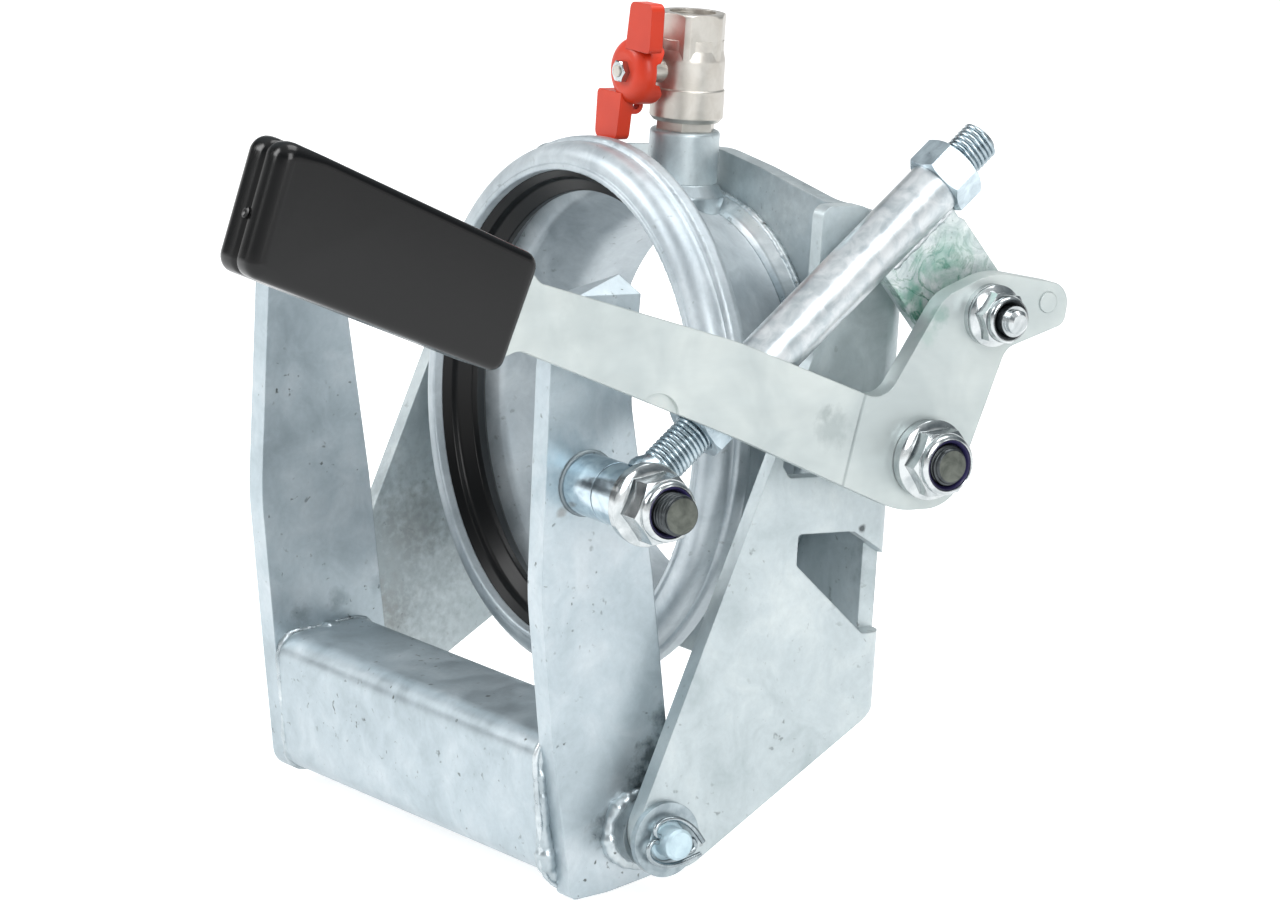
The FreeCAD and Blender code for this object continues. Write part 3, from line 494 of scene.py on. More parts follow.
def seenRays(tree, rays):
    # the background that the camera sees is also what metal and glass show
    seen = addNode(tree, "ShaderNodeMath", {"operation": "MAXIMUM", 0: rays.outputs["Is Camera Ray"],
                                            1: rays.outputs["Is Transmission Ray"]})
    return addNode(tree, "ShaderNodeMath", {"operation": "MAXIMUM", 0: seen,
                                            1: rays.outputs["Is Glossy Ray"]})


room = {
    "dome": [(0.0, "858C90"), (0.45, "949CA1"), (0.62, "E4E8EA"), (1.0, "FFFFFF")],
    "domeStrength": 0.55,
    # what bright metal shows: white round the horizon, a dim band above it, a pale ceiling
    "shown": [(0.0, "FFFFFF"), (0.57, "FFFFFF"), (0.67, "7A8185"), (0.78, "8B9296"), (0.92, "D2D6D8"),
              (1.0, "E8EAEB")],
    "card": (-0.824, -0.458, 0.336),    # direction of the dark card that gives nuts one dark side
    "cardTone": "30363A",
    "cardEdge": (0.26, 0.42),           # full up to the first distance from there, gone at the second
    "cardDepth": 0.9,
    "paper": "C9CBCC",                  # the floor's own colour
    "glow": 0.78,                       # what lifts it to white where it is seen
    "floorHalf": 6,                     # metres
    "floorDrop": 0.6 * mm,              # the floor lies this far below the object
}


def makeWorld():
    world = bpy.data.worlds.new("studio")
    bpy.context.scene.world = world
    world.use_nodes = True
    tree = world.node_tree
    tree.nodes.clear()
    rays = addNode(tree, "ShaderNodeLightPath")
    place = addNode(tree, "ShaderNodeTexCoord").outputs["Generated"]
    height = addNode(tree, "ShaderNodeSeparateXYZ", {"Vector": place}).outputs["Z"]
    rise = addNode(tree, "ShaderNodeMapRange", {"Value": height, "From Min": -1, "From Max": 1})
    dome = addNode(tree, "ShaderNodeValToRGB", {"Fac": rise, "stops": room["dome"]})
    plain = addNode(tree, "ShaderNodeBackground", {"Color": dome, "Strength": room["domeStrength"]})
    shown = addNode(tree, "ShaderNodeValToRGB", {"Fac": rise, "stops": room["shown"]})
    away = addNode(tree, "ShaderNodeVectorMath", {"operation": "DISTANCE", 0: place, 1: room["card"]})
    full, gone = room["cardEdge"]
    card = addNode(tree, "ShaderNodeMapRange",
                   {"Value": away, "From Min": full, "From Max": gone,
                    "To Min": room["cardDepth"], "To Max": 0})
    carded = addNode(tree, "ShaderNodeMix",
                     {"data_type": "RGBA", 0: card, 6: shown, 7: hexColour(room["cardTone"])})
    glossy = addNode(tree, "ShaderNodeMix",
                     {"data_type": "RGBA", 0: rays.outputs["Is Glossy Ray"], 6: (1, 1, 1, 1), 7: carded})
    white = addNode(tree, "ShaderNodeBackground", {"Color": glossy, "Strength": 1.0})
    mix = addNode(tree, "ShaderNodeMixShader", {0: seenRays(tree, rays), 1: plain, 2: white})
    addNode(tree, "ShaderNodeOutputWorld", {"Surface": mix})


def makeFloor():
    mesh = bpy.data.meshes.new("floor")
    size = room["floorHalf"]
    low = cadLow.z - room["floorDrop"]
    mesh.from_pydata([(-size, -size, low), (size, -size, low), (size, size, low), (-size, size, low)],
                     [], [(0, 1, 2, 3)])
    floor = bpy.data.objects.new("floor", mesh)
    bpy.context.scene.collection.objects.link(floor)
    material = bpy.data.materials.new("white paper floor")
    material.use_nodes = True
    tree = material.node_tree
    tree.nodes.clear()
    rays = addNode(tree, "ShaderNodeLightPath")
    paper = addNode(tree, "ShaderNodeBsdfDiffuse", {"Color": hexColour(room["paper"])})
    glow = addNode(tree, "ShaderNodeEmission", {"Color": (1, 1, 1, 1), "Strength": room["glow"]})
    both = addNode(tree, "ShaderNodeAddShader", {0: paper, 1: glow})
    mix = addNode(tree, "ShaderNodeMixShader", {0: seenRays(tree, rays), 1: paper, 2: both})
    addNode(tree, "ShaderNodeOutputMaterial", {"Surface": mix})
    mesh.materials.append(material)


makeCamera()
for name, facts in lamps.items():
    makeLamp(name, facts)
makeWorld()
makeFloor()
bpy.context.scene.view_settings.view_transform = "Standard"
print("camera, lamps and floor made")


# Helpers for the pieces that are made here

def finishMesh(name, mesh, material, smooth=35):
    mesh.name = name.replace(" ", "_")
    shell = bmesh.new()
    shell.from_mesh(mesh)
    bmesh.ops.remove_doubles(shell, verts=shell.verts, dist=1e-6)
    bmesh.ops.recalc_face_normals(shell, faces=shell.faces)
    for face in shell.faces:
        face.smooth = True
    for edge in shell.edges:
        if len(edge.link_faces) == 2:
            edge.smooth = edge.calc_face_angle(0) < radians(smooth)
    shell.to_mesh(mesh)
    shell.free()
    mesh.materials.clear()
    mesh.materials.append(material)
    piece = bpy.data.objects.new(mesh.name, mesh)
    bpy.context.scene.collection.objects.link(piece)
    return piece


def settle(piece, body, stands=()):
    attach(piece, body)
    if stands:
        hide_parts(*stands)


def turnedMesh(profile, sides=48):
    # profile is (radius, height) in mm from the foot to the top of local Z, closed on the axis
    # or round to its own first point
    mesh = bpy.data.meshes.new("turned")
    points, faces, rings = [], [], []
    ringShaped = profile[0] == profile[-1]
    for radius, height in profile[:-1] if ringShaped else profile:
        if radius == 0:
            rings.append([len(points)])
            points.append((0, 0, height * mm))
            continue
        ring = []
        for step in range(sides):
            angle = 2 * pi * step / sides
            ring.append(len(points))
            points.append((radius * mm * cos(angle), radius * mm * sin(angle), height * mm))
        rings.append(ring)
    for low, high in zip(rings, rings[1:] + rings[:1] if ringShaped else rings[1:]):
        for step in range(sides):
            after = (step + 1) % sides
            corners = [low[step % len(low)], low[after % len(low)], high[after % len(high)],
                       high[step % len(high)]]
            unique = list(dict.fromkeys(corners))
            if len(unique) > 2:
                faces.append(unique)
    mesh.from_pydata(points, [], faces)
    return mesh


def standing(point, direction, side=(1, 0, 0)):
    # puts local Z along direction and local X as near to side as it goes
    up = Vector(direction).normalized()
    across = Vector(side) - up * up.dot(Vector(side))
    across.normalize()
    turn = Matrix((across, up.cross(across), up)).transposed().to_4x4()
    return Matrix.Translation(Vector(point) * mm) @ turn


def newTree(name, inputs):
    tree = bpy.data.node_groups.new(name, "GeometryNodeTree")
    tree.interface.new_socket("Geometry", in_out="INPUT", socket_type="NodeSocketGeometry")
    for label, kind in inputs:
        tree.interface.new_socket(label, in_out="INPUT", socket_type="NodeSocket" + kind)
    tree.interface.new_socket("Geometry", in_out="OUTPUT", socket_type="NodeSocketGeometry")
    return tree, addNode(tree, "NodeGroupInput").outputs


def closeTree(tree, geometry, material):
    real = addNode(tree, "GeometryNodeRealizeInstances", {"Geometry": geometry})
    painted = addNode(tree, "GeometryNodeSetMaterial", {"Geometry": real, "Material": material})
    addNode(tree, "NodeGroupOutput", {"Geometry": painted})


def grown(tree, values, start):
    # runs a tree on a start mesh and gives back the plain mesh
    carrier = bpy.data.objects.new("carrier", start)
    bpy.context.scene.collection.objects.link(carrier)
    modifier = carrier.modifiers.new("grow", "NODES")
    modifier.node_group = tree
    for item in tree.interface.items_tree:
        if item.in_out == "INPUT" and item.name in values:
            modifier[item.identifier] = values[item.name]
    depsgraph = bpy.context.evaluated_depsgraph_get()
    mesh = bpy.data.meshes.new_from_object(carrier.evaluated_get(depsgraph))
    carrier.modifiers.clear()
    bpy.data.objects.remove(carrier)
    return mesh


# Screw threads

def threadTree():
    # a rounded ridge wound round the core that comes in, fading out over its last half turn
    tree, given = newTree("rolled thread", [("Radius", "Float"), ("Pitch", "Float"), ("Length", "Float"),
                                            ("Foot", "Float"), ("Material", "Material")])
    turns = addNode(tree, "ShaderNodeMath", {"operation": "DIVIDE", 0: given["Length"], 1: given["Pitch"]})
    depth = addNode(tree, "ShaderNodeMath", {"operation": "MULTIPLY", 0: given["Pitch"], 1: 0.49})
    middle = addNode(tree, "ShaderNodeMath", {"operation": "SUBTRACT", 0: given["Radius"], 1: depth})
    spiral = addNode(tree, "GeometryNodeCurveSpiral",
                     {"Resolution": 26, "Rotations": turns, "Start Radius": middle, "End Radius": middle,
                      "Height": given["Length"]})
    upright = addNode(tree, "GeometryNodeSetCurveNormal", {"mode": "Z_UP", "Curve": spiral})
    factor = addNode(tree, "GeometryNodeSplineParameter").outputs["Factor"]
    back = addNode(tree, "ShaderNodeMath", {"operation": "SUBTRACT", 0: 1.0, 1: factor})
    near = addNode(tree, "ShaderNodeMath", {"operation": "MINIMUM", 0: factor, 1: back})
    twice = addNode(tree, "ShaderNodeMath", {"operation": "MULTIPLY", 0: turns, 1: 2.0})
    fade = addNode(tree, "ShaderNodeMath", {"operation": "MULTIPLY", 0: near, 1: twice})
    full = addNode(tree, "ShaderNodeMath", {"operation": "MINIMUM", 0: fade, 1: 1.0})
    size = addNode(tree, "ShaderNodeMath", {"operation": "MAXIMUM", 0: full, 1: 0.06})
    crest = addNode(tree, "GeometryNodeCurvePrimitiveCircle", {"Resolution": 10, "Radius": depth})
    ridge = addNode(tree, "GeometryNodeCurveToMesh",
                    {"Curve": upright, "Profile Curve": crest, "Scale": size, "Fill Caps": True})
    lift = addNode(tree, "ShaderNodeCombineXYZ", {"Z": given["Foot"]})
    raised = addNode(tree, "GeometryNodeTransform", {"Geometry": ridge, "Translation": lift})
    both = addNode(tree, "GeometryNodeJoinGeometry", {"Geometry": [raised, given["Geometry"]]})
    closeTree(tree, both, given["Material"])
    return tree


rolledThread = threadTree()

coarseThread = {"radius": 8.0, "pitch": 2.0, "core": 6.95}      # M16


def threaded(size, core, foot, length, material):
    start = turnedMesh(core) if core else bpy.data.meshes.new("no core")
    return grown(rolledThread, {"Radius": size["radius"] * mm, "Pitch": size["pitch"] * mm,
                                "Length": length * mm, "Foot": foot * mm, "Material": material}, start)


def joinedMesh(meshes):
    whole = bmesh.new()
    for mesh in meshes:
        whole.from_mesh(mesh)
    result = bpy.data.meshes.new("joined")
    whole.to_mesh(result)
    whole.free()
    return result


tie = {
    "pivot": (138.0, *tiePivot),
    "lean": 41.3,               # degrees above the pipe's axis
    "start": 10.0,              # the core begins inside the neck, in mm from the pivot
    "thread": (15.0, 35.0),     # foot and length of the thread beside the eye
    "neck": [(0, 8.5), (9.4, 8.5), (9.9, 11.0), (9.4, 13.0), (8.2, 15.0), (7.1, 17.6), (0, 17.6)],
    "sleeve": 12.0,             # radius of the sleeve on the stud
    "sleeveHalf": 8.4,
    "bore": 8.1,
    "tubeEnd": 173.5,
    "nutGap": 0.06,             # between the tube's end and the adjuster nut
    "end": 201.5,
}
tieWay = Vector((0, cos(radians(tie["lean"])), sin(radians(tie["lean"]))))


def onTie(along, across=0.0, aside=0.0):
    cross = Vector((0, -tieWay.z, tieWay.y))
    return Vector(tie["pivot"]) + tieWay * along + cross * across + Vector((aside, 0, 0))


def makeEyeBolt():
    size = coarseThread
    start, end, core = tie["start"], tie["end"], size["core"]
    profile = [(0, start), (core, start), (core, end - 1.2), (core - 0.9, end), (0, end)]
    shank = threaded(size, profile, *tie["thread"], threadZinc)
    # the far thread starts 2 mm inside the tube and stops 0.4 mm short of the bolt's end
    tip = threaded(size, None, tie["tubeEnd"] - 2, end - tie["tubeEnd"] + 1.6, threadZinc)
    neck = turnedMesh(tie["neck"])
    for mesh in (shank, tip, neck):
        mesh.transform(standing(tie["pivot"], tieWay))
    sleeve, half, bore = tie["sleeve"], tie["sleeveHalf"], tie["bore"]
    eye = turnedMesh([(bore, 0.5 - half), (bore + 0.5, -half), (sleeve - 0.3, -half), (sleeve, 0.3 - half),
                      (sleeve, half - 0.5), (sleeve - 0.5, half), (bore + 0.5, half), (bore, half - 0.5),
                      (bore, 0.5 - half)], 72)
    eye.transform(standing(tie["pivot"], (1, 0, 0), (0, 1, 0)))
    piece = finishMesh("threaded eye bolt", joinedMesh([shank, tip, neck]), threadZinc, 38)
    settle(piece, "tie", ["eye_bolt"])
    settle(finishMesh("eye bolt sleeve", eye, bossZinc, 38), "tie")


# thread is its length behind the end face, bare the part of it without a ridge, tip the end's radius
studs = {
    "tie_stud": {"pivot": tiePivot, "body": "yoke", "thread": 17.0, "bare": 0.6, "tip": 7.0},
    "lever_pivot_stud": {"pivot": leverPivot, "body": "frame", "thread": 15.0, "bare": 1.4, "tip": 6.2},
}


def makeStud(name, facts):
    # a dark thread behind the end face, which is sawn off square and left dull
    low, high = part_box(name)
    start, end = low.x / mm, high.x / mm
    size, tip = coarseThread, facts["tip"]
    foot = end - facts["thread"]
    core = [(0, start), (size["radius"], start), (size["radius"], foot), (size["core"], foot + 1),
            (size["core"], end - 1.0), (tip + 0.15, end - 0.1), (tip - 0.15, end), (0, end)]
    mesh = threaded(size, core, foot, facts["thread"] - facts["bare"], dullThread)
    mesh.transform(standing((0, *facts["pivot"]), (1, 0, 0), (0, 1, 0)))
    piece = finishMesh("threaded " + name, mesh, dullThread, 38)
    piece.data.materials.append(rodFace)
    piece.data.materials.append(armZinc)        # the welded end was galvanised with what it stands on
    for face in piece.data.polygons:
        if face.center.x > high.x - 0.05 * mm:
            face.material_index = 1
        elif face.center.x < low.x + 0.05 * mm:
            face.material_index = 2
    settle(piece, facts["body"], [name])


# half inch pipe thread inside the valve, from its foot up
pipeThread = {"radius": 10.15, "pitch": 1.81, "foot": 143.2, "length": 12.0, "axisY": 48.5}


def makeValveThread():
    mesh = threaded(pipeThread, None, pipeThread["foot"], pipeThread["length"], nickel)
    mesh.transform(standing((0, pipeThread["axisY"], 0), (0, 0, 1)))
    settle(finishMesh("valve inner thread", mesh, nickel, 50), "frame")


def hexNutMesh(flats, height, bore, turn, segments=144):
    # corners turned off at 30 degrees on both faces, which leaves the arcs seen on each flat
    inner = flats / 2 + 0.15
    rings = []
    for step in range(segments):
        angle = 2 * pi * step / segments
        inSide = (angle - radians(turn) + pi / 6) % (pi / 3) - pi / 6
        reach = flats / 2 / cos(inSide)
        fall = max(0.0, reach - inner) * 0.6
        flat = min(reach, inner)
        section = [(bore, 1.0), (bore + 1.0, 0), (flat, 0), (reach, fall), (reach, height - fall),
                   (flat, height), (bore + 1.0, height), (bore, height - 1.0)]
        rings.append([(radius * cos(angle) * mm, radius * sin(angle) * mm, rise * mm)
                      for radius, rise in section])
    points = [point for ring in rings for point in ring]
    count = len(rings[0])
    faces = []
    for step in range(segments):
        after = (step + 1) % segments
        for index in range(count):
            nextOne = (index + 1) % count
            faces.append((step * count + index, after * count + index, after * count + nextOne,
                          step * count + nextOne))
    mesh = bpy.data.meshes.new("hexagon")
    mesh.from_pydata(points, [], faces)
    return mesh


# foot is where a nut's near face lies along the tie, turn its angle in degrees
tieNuts = {
    "adjuster_nut": {"flats": 24.0, "height": 13.0, "foot": tie["tubeEnd"] + tie["nutGap"], "turn": 30,
                     "body": "adjuster"},
    "lock_nut": {"flats": 23.4, "height": 13.0, "foot": 36.0, "turn": 0, "body": "tie"},
}


def makeTieNut(name, facts):
    mesh = hexNutMesh(facts["flats"], facts["height"], tie["bore"], facts["turn"])
    mesh.transform(standing(onTie(facts["foot"]), tieWay))
    piece = finishMesh("chamfered " + name, mesh, blueZinc, 24)
    settle(piece, facts["body"], [name])


flangeNuts = {
    "tie_nut": {"place": (149.8, *tiePivot), "flats": 24.0, "flange": 16.0, "bore": 8.0,
                "height": 13.4, "turn": 40, "body": "yoke", "ring": blueNylon},
    "lever_pivot_nut": {"place": (161.3, *leverPivot), "flats": 24.0, "flange": 15.5, "bore": 8.0,
                        "height": 9.8, "turn": 35, "body": "frame", "ring": blueNylon},
    "link_nut": {"place": (160.4, *linkPivot), "flats": 18.5, "flange": 12.0, "bore": 6.0,
                 "height": 8.2, "turn": 22, "body": "lever", "ring": greyNylon},
}


def makeFlangeNut(name, facts):
    # flange, hexagon and the thin collar that is rolled over the dished locking ring
    flats, flange, bore, height = (facts[key] for key in ("flats", "flange", "bore", "height"))
    base = turnedMesh([(bore + 0.1, 0), (flange - 0.7, 0), (flange, 0.6), (flange, 1.6),
                       (flange - 0.6, 2.2), (flats / 2 + 0.2, 3.4), (bore + 0.1, 3.4), (bore + 0.1, 0)], 96)
    body = hexNutMesh(flats, height - 1.8, bore + 0.05, facts["turn"])
    body.transform(Matrix.Translation((0, 0, 1.8 * mm)))
    inner, outer, top = bore + 1.8, flats / 2 - 0.35, height + 3.4
    collar = [(inner, height - 1), (outer, height - 1), (outer, top - 2.0)]
    for step in range(1, 6):
        angle = step * pi / 12
        collar.append((outer - 1.6 * (1 - cos(angle)), top - 2.0 + 1.7 * sin(angle)))
    collar += [(inner + 0.35, top), (inner, top - 0.3), (inner, height - 1)]
    mesh = joinedMesh([base, body, turnedMesh(collar, 96)])
    mesh.transform(standing(facts["place"], (1, 0, 0), (0, 1, 0)))
    settle(finishMesh("flanged " + name, mesh, boltZinc, 28), facts["body"], [name])
    rim, foot = bore + 1.75, height + 0.05
    ring = turnedMesh([(bore + 0.15, foot), (rim, foot), (rim, foot + 2.75), (rim - 0.4, foot + 2.95),
                       (rim - 0.85, foot + 2.6), (bore + 0.15, foot + 1.4), (bore + 0.15, foot)], 72)
    ring.transform(standing(facts["place"], (1, 0, 0), (0, 1, 0)))
    insert = name.replace("nut", "insert")
    settle(finishMesh("dished " + insert, ring, facts["ring"], 40), facts["body"], [insert])


for name, facts in flangeNuts.items():
    makeFlangeNut(name, facts)
makeEyeBolt()
for name, facts in studs.items():
    makeStud(name, facts)
makeValveThread()
for name, facts in tieNuts.items():
    makeTieNut(name, facts)
print("threads, studs and nuts made")


# Bell rim

# radius and Y in mm: the pressed sheet runs softly from the front roll over a shallow dip to the ridge
rim = [(100.0, 4.0), (103.7, 2.6), (104.25, 3.6), (104.7, 5.0), (104.86, 6.4), (104.7, 7.6),
       (104.75, 8.6), (105.3, 9.8), (106.1, 10.9), (106.7, 12.1), (106.88, 13.3), (106.6, 14.6),
       (100.0, 14.0), (100.0, 4.0)]


def makeRim():
    mesh = turnedMesh(rim, 240)
    mesh.transform(standing((0, 0, 0), (0, 1, 0)))
    settle(finishMesh("pressed bell rim", mesh, bellZinc, 50), "frame")


makeRim()
print("bell rim made")


# Weld beads

def beadTree():
    # a rippled half-round run of weld along each edge line that comes in
    tree, given = newTree("weld bead", [("Radius", "Float"), ("Ripple", "Float"), ("Lump", "Float"),
                                        ("Seed", "Float"), ("Material", "Material")])
    line = addNode(tree, "GeometryNodeMeshToCurve", {"Mesh": given["Geometry"]})
    even = addNode(tree, "GeometryNodeResampleCurve", {"mode": "LENGTH", "Length": 0.8 * mm, "Curve": line})
    length = addNode(tree, "GeometryNodeSplineParameter").outputs["Length"]
    count = addNode(tree, "ShaderNodeMath", {"operation": "DIVIDE", 0: length, 1: given["Ripple"]})
    angle = addNode(tree, "ShaderNodeMath", {"operation": "MULTIPLY", 0: count, 1: pi})
    wave = addNode(tree, "ShaderNodeMath", {"operation": "SINE", 0: angle})
    ripple = addNode(tree, "ShaderNodeMath", {"operation": "ABSOLUTE", 0: wave})
    drift = addNode(tree, "ShaderNodeTexNoise",
                    {"noise_dimensions": "4D", "W": given["Seed"], "Scale": 1 / (11 * mm), "Detail": 2,
                     "Roughness": 0.5})
    offset = addNode(tree, "ShaderNodeMath", {"operation": "SUBTRACT", 0: drift.outputs[0], 1: 0.5})
    size = addNode(tree, "ShaderNodeMath", {"operation": "MULTIPLY_ADD", 0: ripple, 1: 0.13, 2: 0.86})
    swollen = addNode(tree, "ShaderNodeMath",
                      {"operation": "MULTIPLY_ADD", 0: offset, 1: given["Lump"], 2: size})
    section = addNode(tree, "GeometryNodeCurvePrimitiveCircle",
                      {"Resolution": 12, "Radius": given["Radius"]})
    bead = addNode(tree, "GeometryNodeCurveToMesh",
                   {"Curve": even, "Profile Curve": section, "Scale": swollen, "Fill Caps": True})
    rough = addNode(tree, "ShaderNodeTexNoise",
                    {"noise_dimensions": "4D", "W": given["Seed"], "Scale": 1 / (2.6 * mm), "Detail": 2,
                     "Roughness": 0.6})
    raised = addNode(tree, "ShaderNodeMath", {"operation": "SUBTRACT", 0: rough.outputs[0], 1: 0.5})
    most = addNode(tree, "ShaderNodeMath", {"operation": "MULTIPLY", 0: given["Radius"], 1: 0.45})
    depth = addNode(tree, "ShaderNodeMath", {"operation": "MULTIPLY", 0: raised, 1: most})
    normal = addNode(tree, "GeometryNodeInputNormal").outputs["Normal"]
    push = addNode(tree, "ShaderNodeVectorMath", {"operation": "SCALE", "Vector": normal, "Scale": depth})
    lumpy = addNode(tree, "GeometryNodeSetPosition", {"Geometry": bead, "Offset": push})
    closeTree(tree, lumpy, given["Material"])
    return tree


weldBead = beadTree()


def lineMesh(points, closed):
    mesh = bpy.data.meshes.new("weld line")
    count = len(points)
    edges = [(index, (index + 1) % count) for index in range(count if closed else count - 1)]
    mesh.from_pydata([Vector(point) * mm for point in points], edges, [])
    return mesh


def circleAbout(place, axis, radius, steps=72):
    placed = standing(place, axis, (0, 0, 1) if abs(axis[2]) < 0.9 else (1, 0, 0))
    return [(placed @ Vector((radius * mm * cos(2 * pi * step / steps),
                              radius * mm * sin(2 * pi * step / steps), 0))) / mm
            for step in range(steps)]


def outlineAt(name, planeX):
    # the longest loop, in mm, where the plane x = planeX cuts a node
    shell = bmesh.new()
    shell.from_mesh(nodes[name].data)
    bmesh.ops.remove_doubles(shell, verts=shell.verts, dist=1e-6)
    every = shell.verts[:] + shell.edges[:] + shell.faces[:]
    cut = bmesh.ops.bisect_plane(shell, geom=every, dist=1e-7, plane_co=(planeX * mm, 0, 0),
                                 plane_no=(1, 0, 0))
    beside = {}
    for item in cut["geom_cut"]:
        if isinstance(item, bmesh.types.BMEdge):
            one, two = item.verts
            beside.setdefault(one, []).append(two)
            beside.setdefault(two, []).append(one)
    loops, seen = [], set()
    for first in beside:
        if first in seen:
            continue
        loop, here = [], first
        while here is not None:
            seen.add(here)
            loop.append(here.co / mm)
            here = next((other for other in beside[here] if other not in seen), None)
        loops.append(loop)
    shell.free()
    return max(loops, key=lambda loop: sum((a - b).length for a, b in zip(loop, loop[1:])))


def makeWeld(name, facts):
    meshes = []
    for index, line in enumerate(facts["lines"]):
        values = {"Radius": facts["radius"] * mm, "Ripple": facts.get("ripple", 2.6) * mm,
                  "Lump": facts.get("lump", 0.5), "Seed": float(facts["seed"] + index),
                  "Material": facts["finish"]}
        meshes.append(grown(weldBead, values, lineMesh(line, facts.get("closed", True))))
    piece = finishMesh(name, joinedMesh(meshes), facts["finish"], 60)
    settle(piece, facts["body"])


def widened(loop, by):
    middle = sum(loop, Vector()) / len(loop)
    return [point + (point - middle).normalized() * by for point in loop]


def slantLine(first, last, steps=8):
    return [Vector(first).lerp(Vector(last), step / steps) for step in range(steps + 1)]


# lines in mm; ripple is the length of one weld ripple, lump how uneven the run is
welds = {
    "crossbar welds": {
        "lines": [outlineAt("yoke_crossbar", 97.4), outlineAt("yoke_crossbar", -97.4)],
        "radius": 3.4, "ripple": 4.6, "lump": 1.6, "seed": 3, "body": "yoke", "finish": weldZinc,
    },
    "crossbar weld toes": {
        "lines": [outlineAt("yoke_crossbar", side * 94.6) for side in (1, -1)]
        + [widened(outlineAt("yoke_crossbar", side * 98.4), 3.0) for side in (1, -1)],
        "radius": 1.3, "ripple": 2.2, "lump": 2.4, "seed": 41, "body": "yoke", "finish": beadZinc,
    },
    "tie boss weld": {
        "lines": [circleAbout((109.1, *tiePivot), (1, 0, 0), 12.1)],
        "radius": 0.9, "lump": 1.2, "seed": 7, "body": "yoke", "finish": dullWeld,
    },
    "pivot boss welds": {
        "lines": [circleAbout((side * 109.8, *rodPivot), (1, 0, 0), 13.4) for side in (1, -1)],
        "radius": 3.3, "ripple": 4.4, "lump": 2.2, "seed": 12, "body": "yoke", "finish": weldZinc,
    },
    "lever boss weld": {
        "lines": [circleAbout((127.0, *leverPivot), (1, 0, 0), 12.9)],
        "radius": 2.3, "lump": 0.8, "seed": 17, "body": "frame", "finish": dullWeld,
    },
    "gusset welds": {
        "lines": [slantLine(onTie(139, -9.7, aside), onTie(172.0, -9.7, aside))
                  for aside in (3.5, -3.5)],
        "radius": 2.1, "ripple": 5.0, "lump": 1.6, "seed": 23, "closed": False, "body": "tie",
        "finish": tubeZinc,
    },
    "pipe weld": {
        "lines": [circleAbout((0, 64.0, 0), (0, 1, 0), 84.4, 240)],
        "radius": 1.7, "ripple": 3.0, "lump": 1.3, "seed": 31, "body": "frame", "finish": weldZinc,
    },
}
for name, facts in welds.items():
    makeWeld(name, facts)
print("welds made:", len(welds))


# Lever grip

grip = {
    # y, z and corner radius in mm, from the tip's upper corner round to its lower one
    "outline": [(-235.5, 138.4, 6.5), (-124, 91.5, 6), (-138.7, 48.8, 5), (-248.4, 88.9, 6.5)],
    "middle": 154.0,            # the parting line's x
    "half": 13.5,
    "edge": 3.6,                # rounding along the sides
    "tipEdge": 6.0,             # and round the free end
    "tipReach": (2.0, 16.0),    # where the tip's rounding starts to give way, and over what length
    "rings": (0.0, 0.35, 0.8, 1.5, 2.6, 4.2, 6.0),      # distances from the parting line
    "groove": 1.0,              # depth of the parting line
    "grooveHalf": 1.5,
    "crown": 0.9,               # how far the tip falls in toward it
    "gate": [(0, -0.6), (2.1, -0.6), (2.1, 0.35), (1.5, 0.55), (0.9, 0.3), (0, 0.25)],
    "gatePlace": 0.58,          # share of the way down the tip
}


def outlinePoints(corners, gap=3.0):
    # points and inward normals round a closed outline with rounded corners
    stops = []
    for index, (y, z, radius) in enumerate(corners):
        here = Vector((y, z))
        before = (Vector(corners[index - 1][:2]) - here).normalized()
        after = (Vector(corners[(index + 1) % len(corners)][:2]) - here).normalized()
        half = before.angle(after) / 2
        centre = here + (before + after).normalized() * (radius / sin(half))
        first = here + before * (radius / tan(half)) - centre
        sweep = pi - 2 * half
        turn = 1 if before.x * after.y - before.y * after.x < 0 else -1
        for step in range(9):
            angle = turn * sweep * step / 8
            spoke = Vector((first.x * cos(angle) - first.y * sin(angle),
                            first.x * sin(angle) + first.y * cos(angle)))
            stops.append((centre + spoke, -spoke.normalized()))
    points = []
    for index, (point, inward) in enumerate(stops):
        points.append((point, inward))
        after, nextInward = stops[(index + 1) % len(stops)]
        run = (after - point).length
        if inward.dot(nextInward) > 0.999 and run > 2 * gap:
            steps = int(run / gap)
            for step in range(1, steps):
                points.append((point.lerp(after, step / steps), inward))
    return points


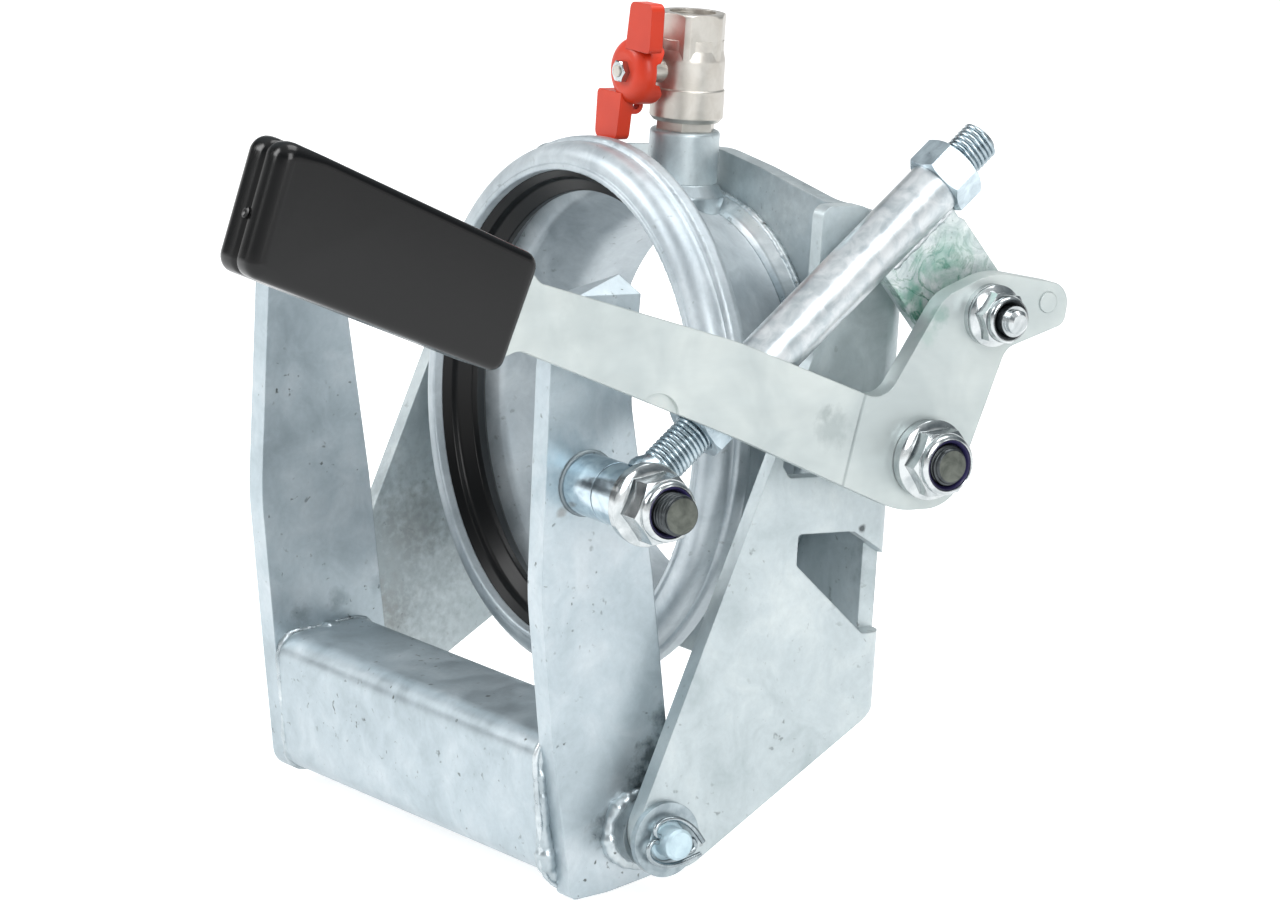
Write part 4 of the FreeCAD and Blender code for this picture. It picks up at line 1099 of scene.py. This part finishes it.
def makeGrip():
    points = outlinePoints(grip["outline"])
    tipHigh, rootHigh, rootLow, tipLow = (Vector(corner[:2]) for corner in grip["outline"])
    tip, root = (tipHigh + tipLow) / 2, (rootHigh + rootLow) / 2
    along = (root - tip).normalized()
    half, crownEnd = grip["half"], grip["rings"][-1]
    tipStart, tipLength = grip["tipReach"]
    # one half's section: out from the parting line, then round the edge to the flat face
    section = [("crown", away) for away in grip["rings"]]
    section += [("edge", step * pi / 16) for step in range(9)]
    order = [(-1, *item) for item in reversed(section)] + [(1, *item) for item in section[1:]]
    rings = []
    for side, kind, value in order:
        ring = []
        for point, inward in points:
            away = max(0.0, (point - tip).dot(along))
            blend = min(1.0, max(0.0, (away - tipStart) / tipLength))
            blend = blend * blend * (3 - 2 * blend)
            edge = grip["tipEdge"] * (1 - blend) + grip["edge"] * blend
            if kind == "crown":
                x = value
                near = min(1.0, value / grip["grooveHalf"])
                inset = grip["groove"] * (1 - near ** 0.5)
                inset += grip["crown"] * (1 - blend) * (1 - value / crownEnd) ** 2
            else:
                x = max(crownEnd, half - edge) + (half - max(crownEnd, half - edge)) * sin(value)
                inset = edge * (1 - cos(value))
            place = point + inward * inset
            ring.append(Vector((grip["middle"] + side * x, place.x, place.y)) * mm)
        rings.append(ring)
    count = len(points)
    faces = []
    for low in range(len(rings) - 1):
        for index in range(count):
            after = (index + 1) % count
            faces.append((low * count + index, low * count + after, (low + 1) * count + after,
                          (low + 1) * count + index))
    faces.append(tuple(range(count)))
    faces.append(tuple((len(rings) - 1) * count + index for index in range(count)))
    mesh = bpy.data.meshes.new("grip")
    mesh.from_pydata([point for ring in rings for point in ring], [], faces)
    gate = turnedMesh(grip["gate"], 24)
    spot = tipHigh * (1 - grip["gatePlace"]) + tipLow * grip["gatePlace"]
    gate.transform(standing((grip["middle"] + 0.2, spot.x, spot.y), (0, -along.x, -along.y)))
    piece = finishMesh("moulded lever grip", joinedMesh([mesh, gate]), gripBlack, 32)
    settle(piece, "lever", ["lever_grip"])


makeGrip()
print("grip made")


# Pivot rod with its split pins

rodEnd = {"half": 139.0, "radius": 8.0, "tipRadius": 6.1, "washerEnd": 129.9}
wirePin = {"wire": 1.05, "place": 132.8, "lean": 14.0}      # wire radius, x and degrees of slope


def makePivotRod():
    reach, step = rodEnd["half"], rodEnd["washerEnd"]
    big, small = rodEnd["radius"], rodEnd["tipRadius"]
    profile = [(0, -reach), (small - 1.1, -reach), (small, 1.1 - reach), (small, -step - 0.4),
               (big - 0.6, -step - 0.2), (big, -step + 0.6), (big, step - 0.6), (big - 0.6, step + 0.2),
               (small, step + 0.4), (small, reach - 1.1), (small - 1.1, reach), (0, reach)]
    mesh = turnedMesh(profile, 56)
    mesh.transform(standing((0, *rodPivot), (1, 0, 0), (0, 1, 0)))
    settle(finishMesh("turned pivot rod", mesh, rodZinc, 30), "frame", ["pivot_rod"])


def wireTree():
    tree, given = newTree("bent wire", [("Radius", "Float"), ("Material", "Material")])
    line = addNode(tree, "GeometryNodeMeshToCurve", {"Mesh": given["Geometry"]})
    even = addNode(tree, "GeometryNodeResampleCurve",
                   {"mode": "LENGTH", "Length": 0.45 * mm, "Curve": line})
    section = addNode(tree, "GeometryNodeCurvePrimitiveCircle",
                      {"Resolution": 14, "Radius": given["Radius"]})
    wire = addNode(tree, "GeometryNodeCurveToMesh",
                   {"Curve": even, "Profile Curve": section, "Fill Caps": True})
    closeTree(tree, wire, given["Material"])
    return tree


bentWire = wireTree()


def smoothLine(points, steps=6):
    # a soft curve through the given points
    ends = [points[0] * 2 - points[1]] + points + [points[-1] * 2 - points[-2]]
    line = []
    for index in range(1, len(ends) - 2):
        before, first, second, after = ends[index - 1:index + 3]
        for step in range(steps):
            share = step / steps
            line.append(0.5 * (2 * first + (second - before) * share
                               + (2 * before - 5 * first + 4 * second - after) * share * share
                               + (3 * first - 3 * second + after - before) * share ** 3))
    return line + [points[-1]]


def pinLine(side):
    # along runs through the rod's hole, across is square to it in the washer's plane
    way = Vector((0, cos(radians(wirePin["lean"])), -sin(radians(wirePin["lean"]))))
    cross = Vector((0, -way.z, way.y))
    centre = Vector((side * wirePin["place"], *rodPivot))

    def at(along, across, out=0.0):
        return centre + way * along + cross * across + Vector((side * out, 0, 0))

    # from the upper leg's tip round the rod to the hole, through it, round the eye and back the same way
    line = [at(13.2, 2.6, 1.6), at(8.5, 6.2, 1.2), at(3.5, 8.4, 0.8), at(-1.5, 9.0, 0.4), at(-6.0, 7.4),
            at(-8.8, 4.4), at(-8.2, 1.6), at(-6.0, 1.05), at(0, 1.05), at(6.0, 1.05), at(7.4, 2.1),
            at(9.4, 2.5), at(11.2, 0), at(9.4, -2.5), at(7.4, -2.1), at(6.0, -1.05), at(0, -1.05),
            at(-6.0, -1.05), at(-8.6, -1.7), at(-9.6, -4.4), at(-8.0, -7.6), at(-4.0, -9.2, 0.3),
            at(1.0, -9.0, 0.6), at(6.5, -6.8, 1.0), at(13.6, -2.2, 1.5)]
    return smoothLine(line)


def makeSplitPin(side, name):
    values = {"Radius": wirePin["wire"] * mm, "Material": pinZinc}
    mesh = grown(bentWire, values, lineMesh(pinLine(side), False))
    settle(finishMesh("bent " + name, mesh, pinZinc, 60), "frame", [name])


makePivotRod()
makeSplitPin(1, "split_pin_right")
makeSplitPin(-1, "split_pin_left")
print("rod and split pins made")
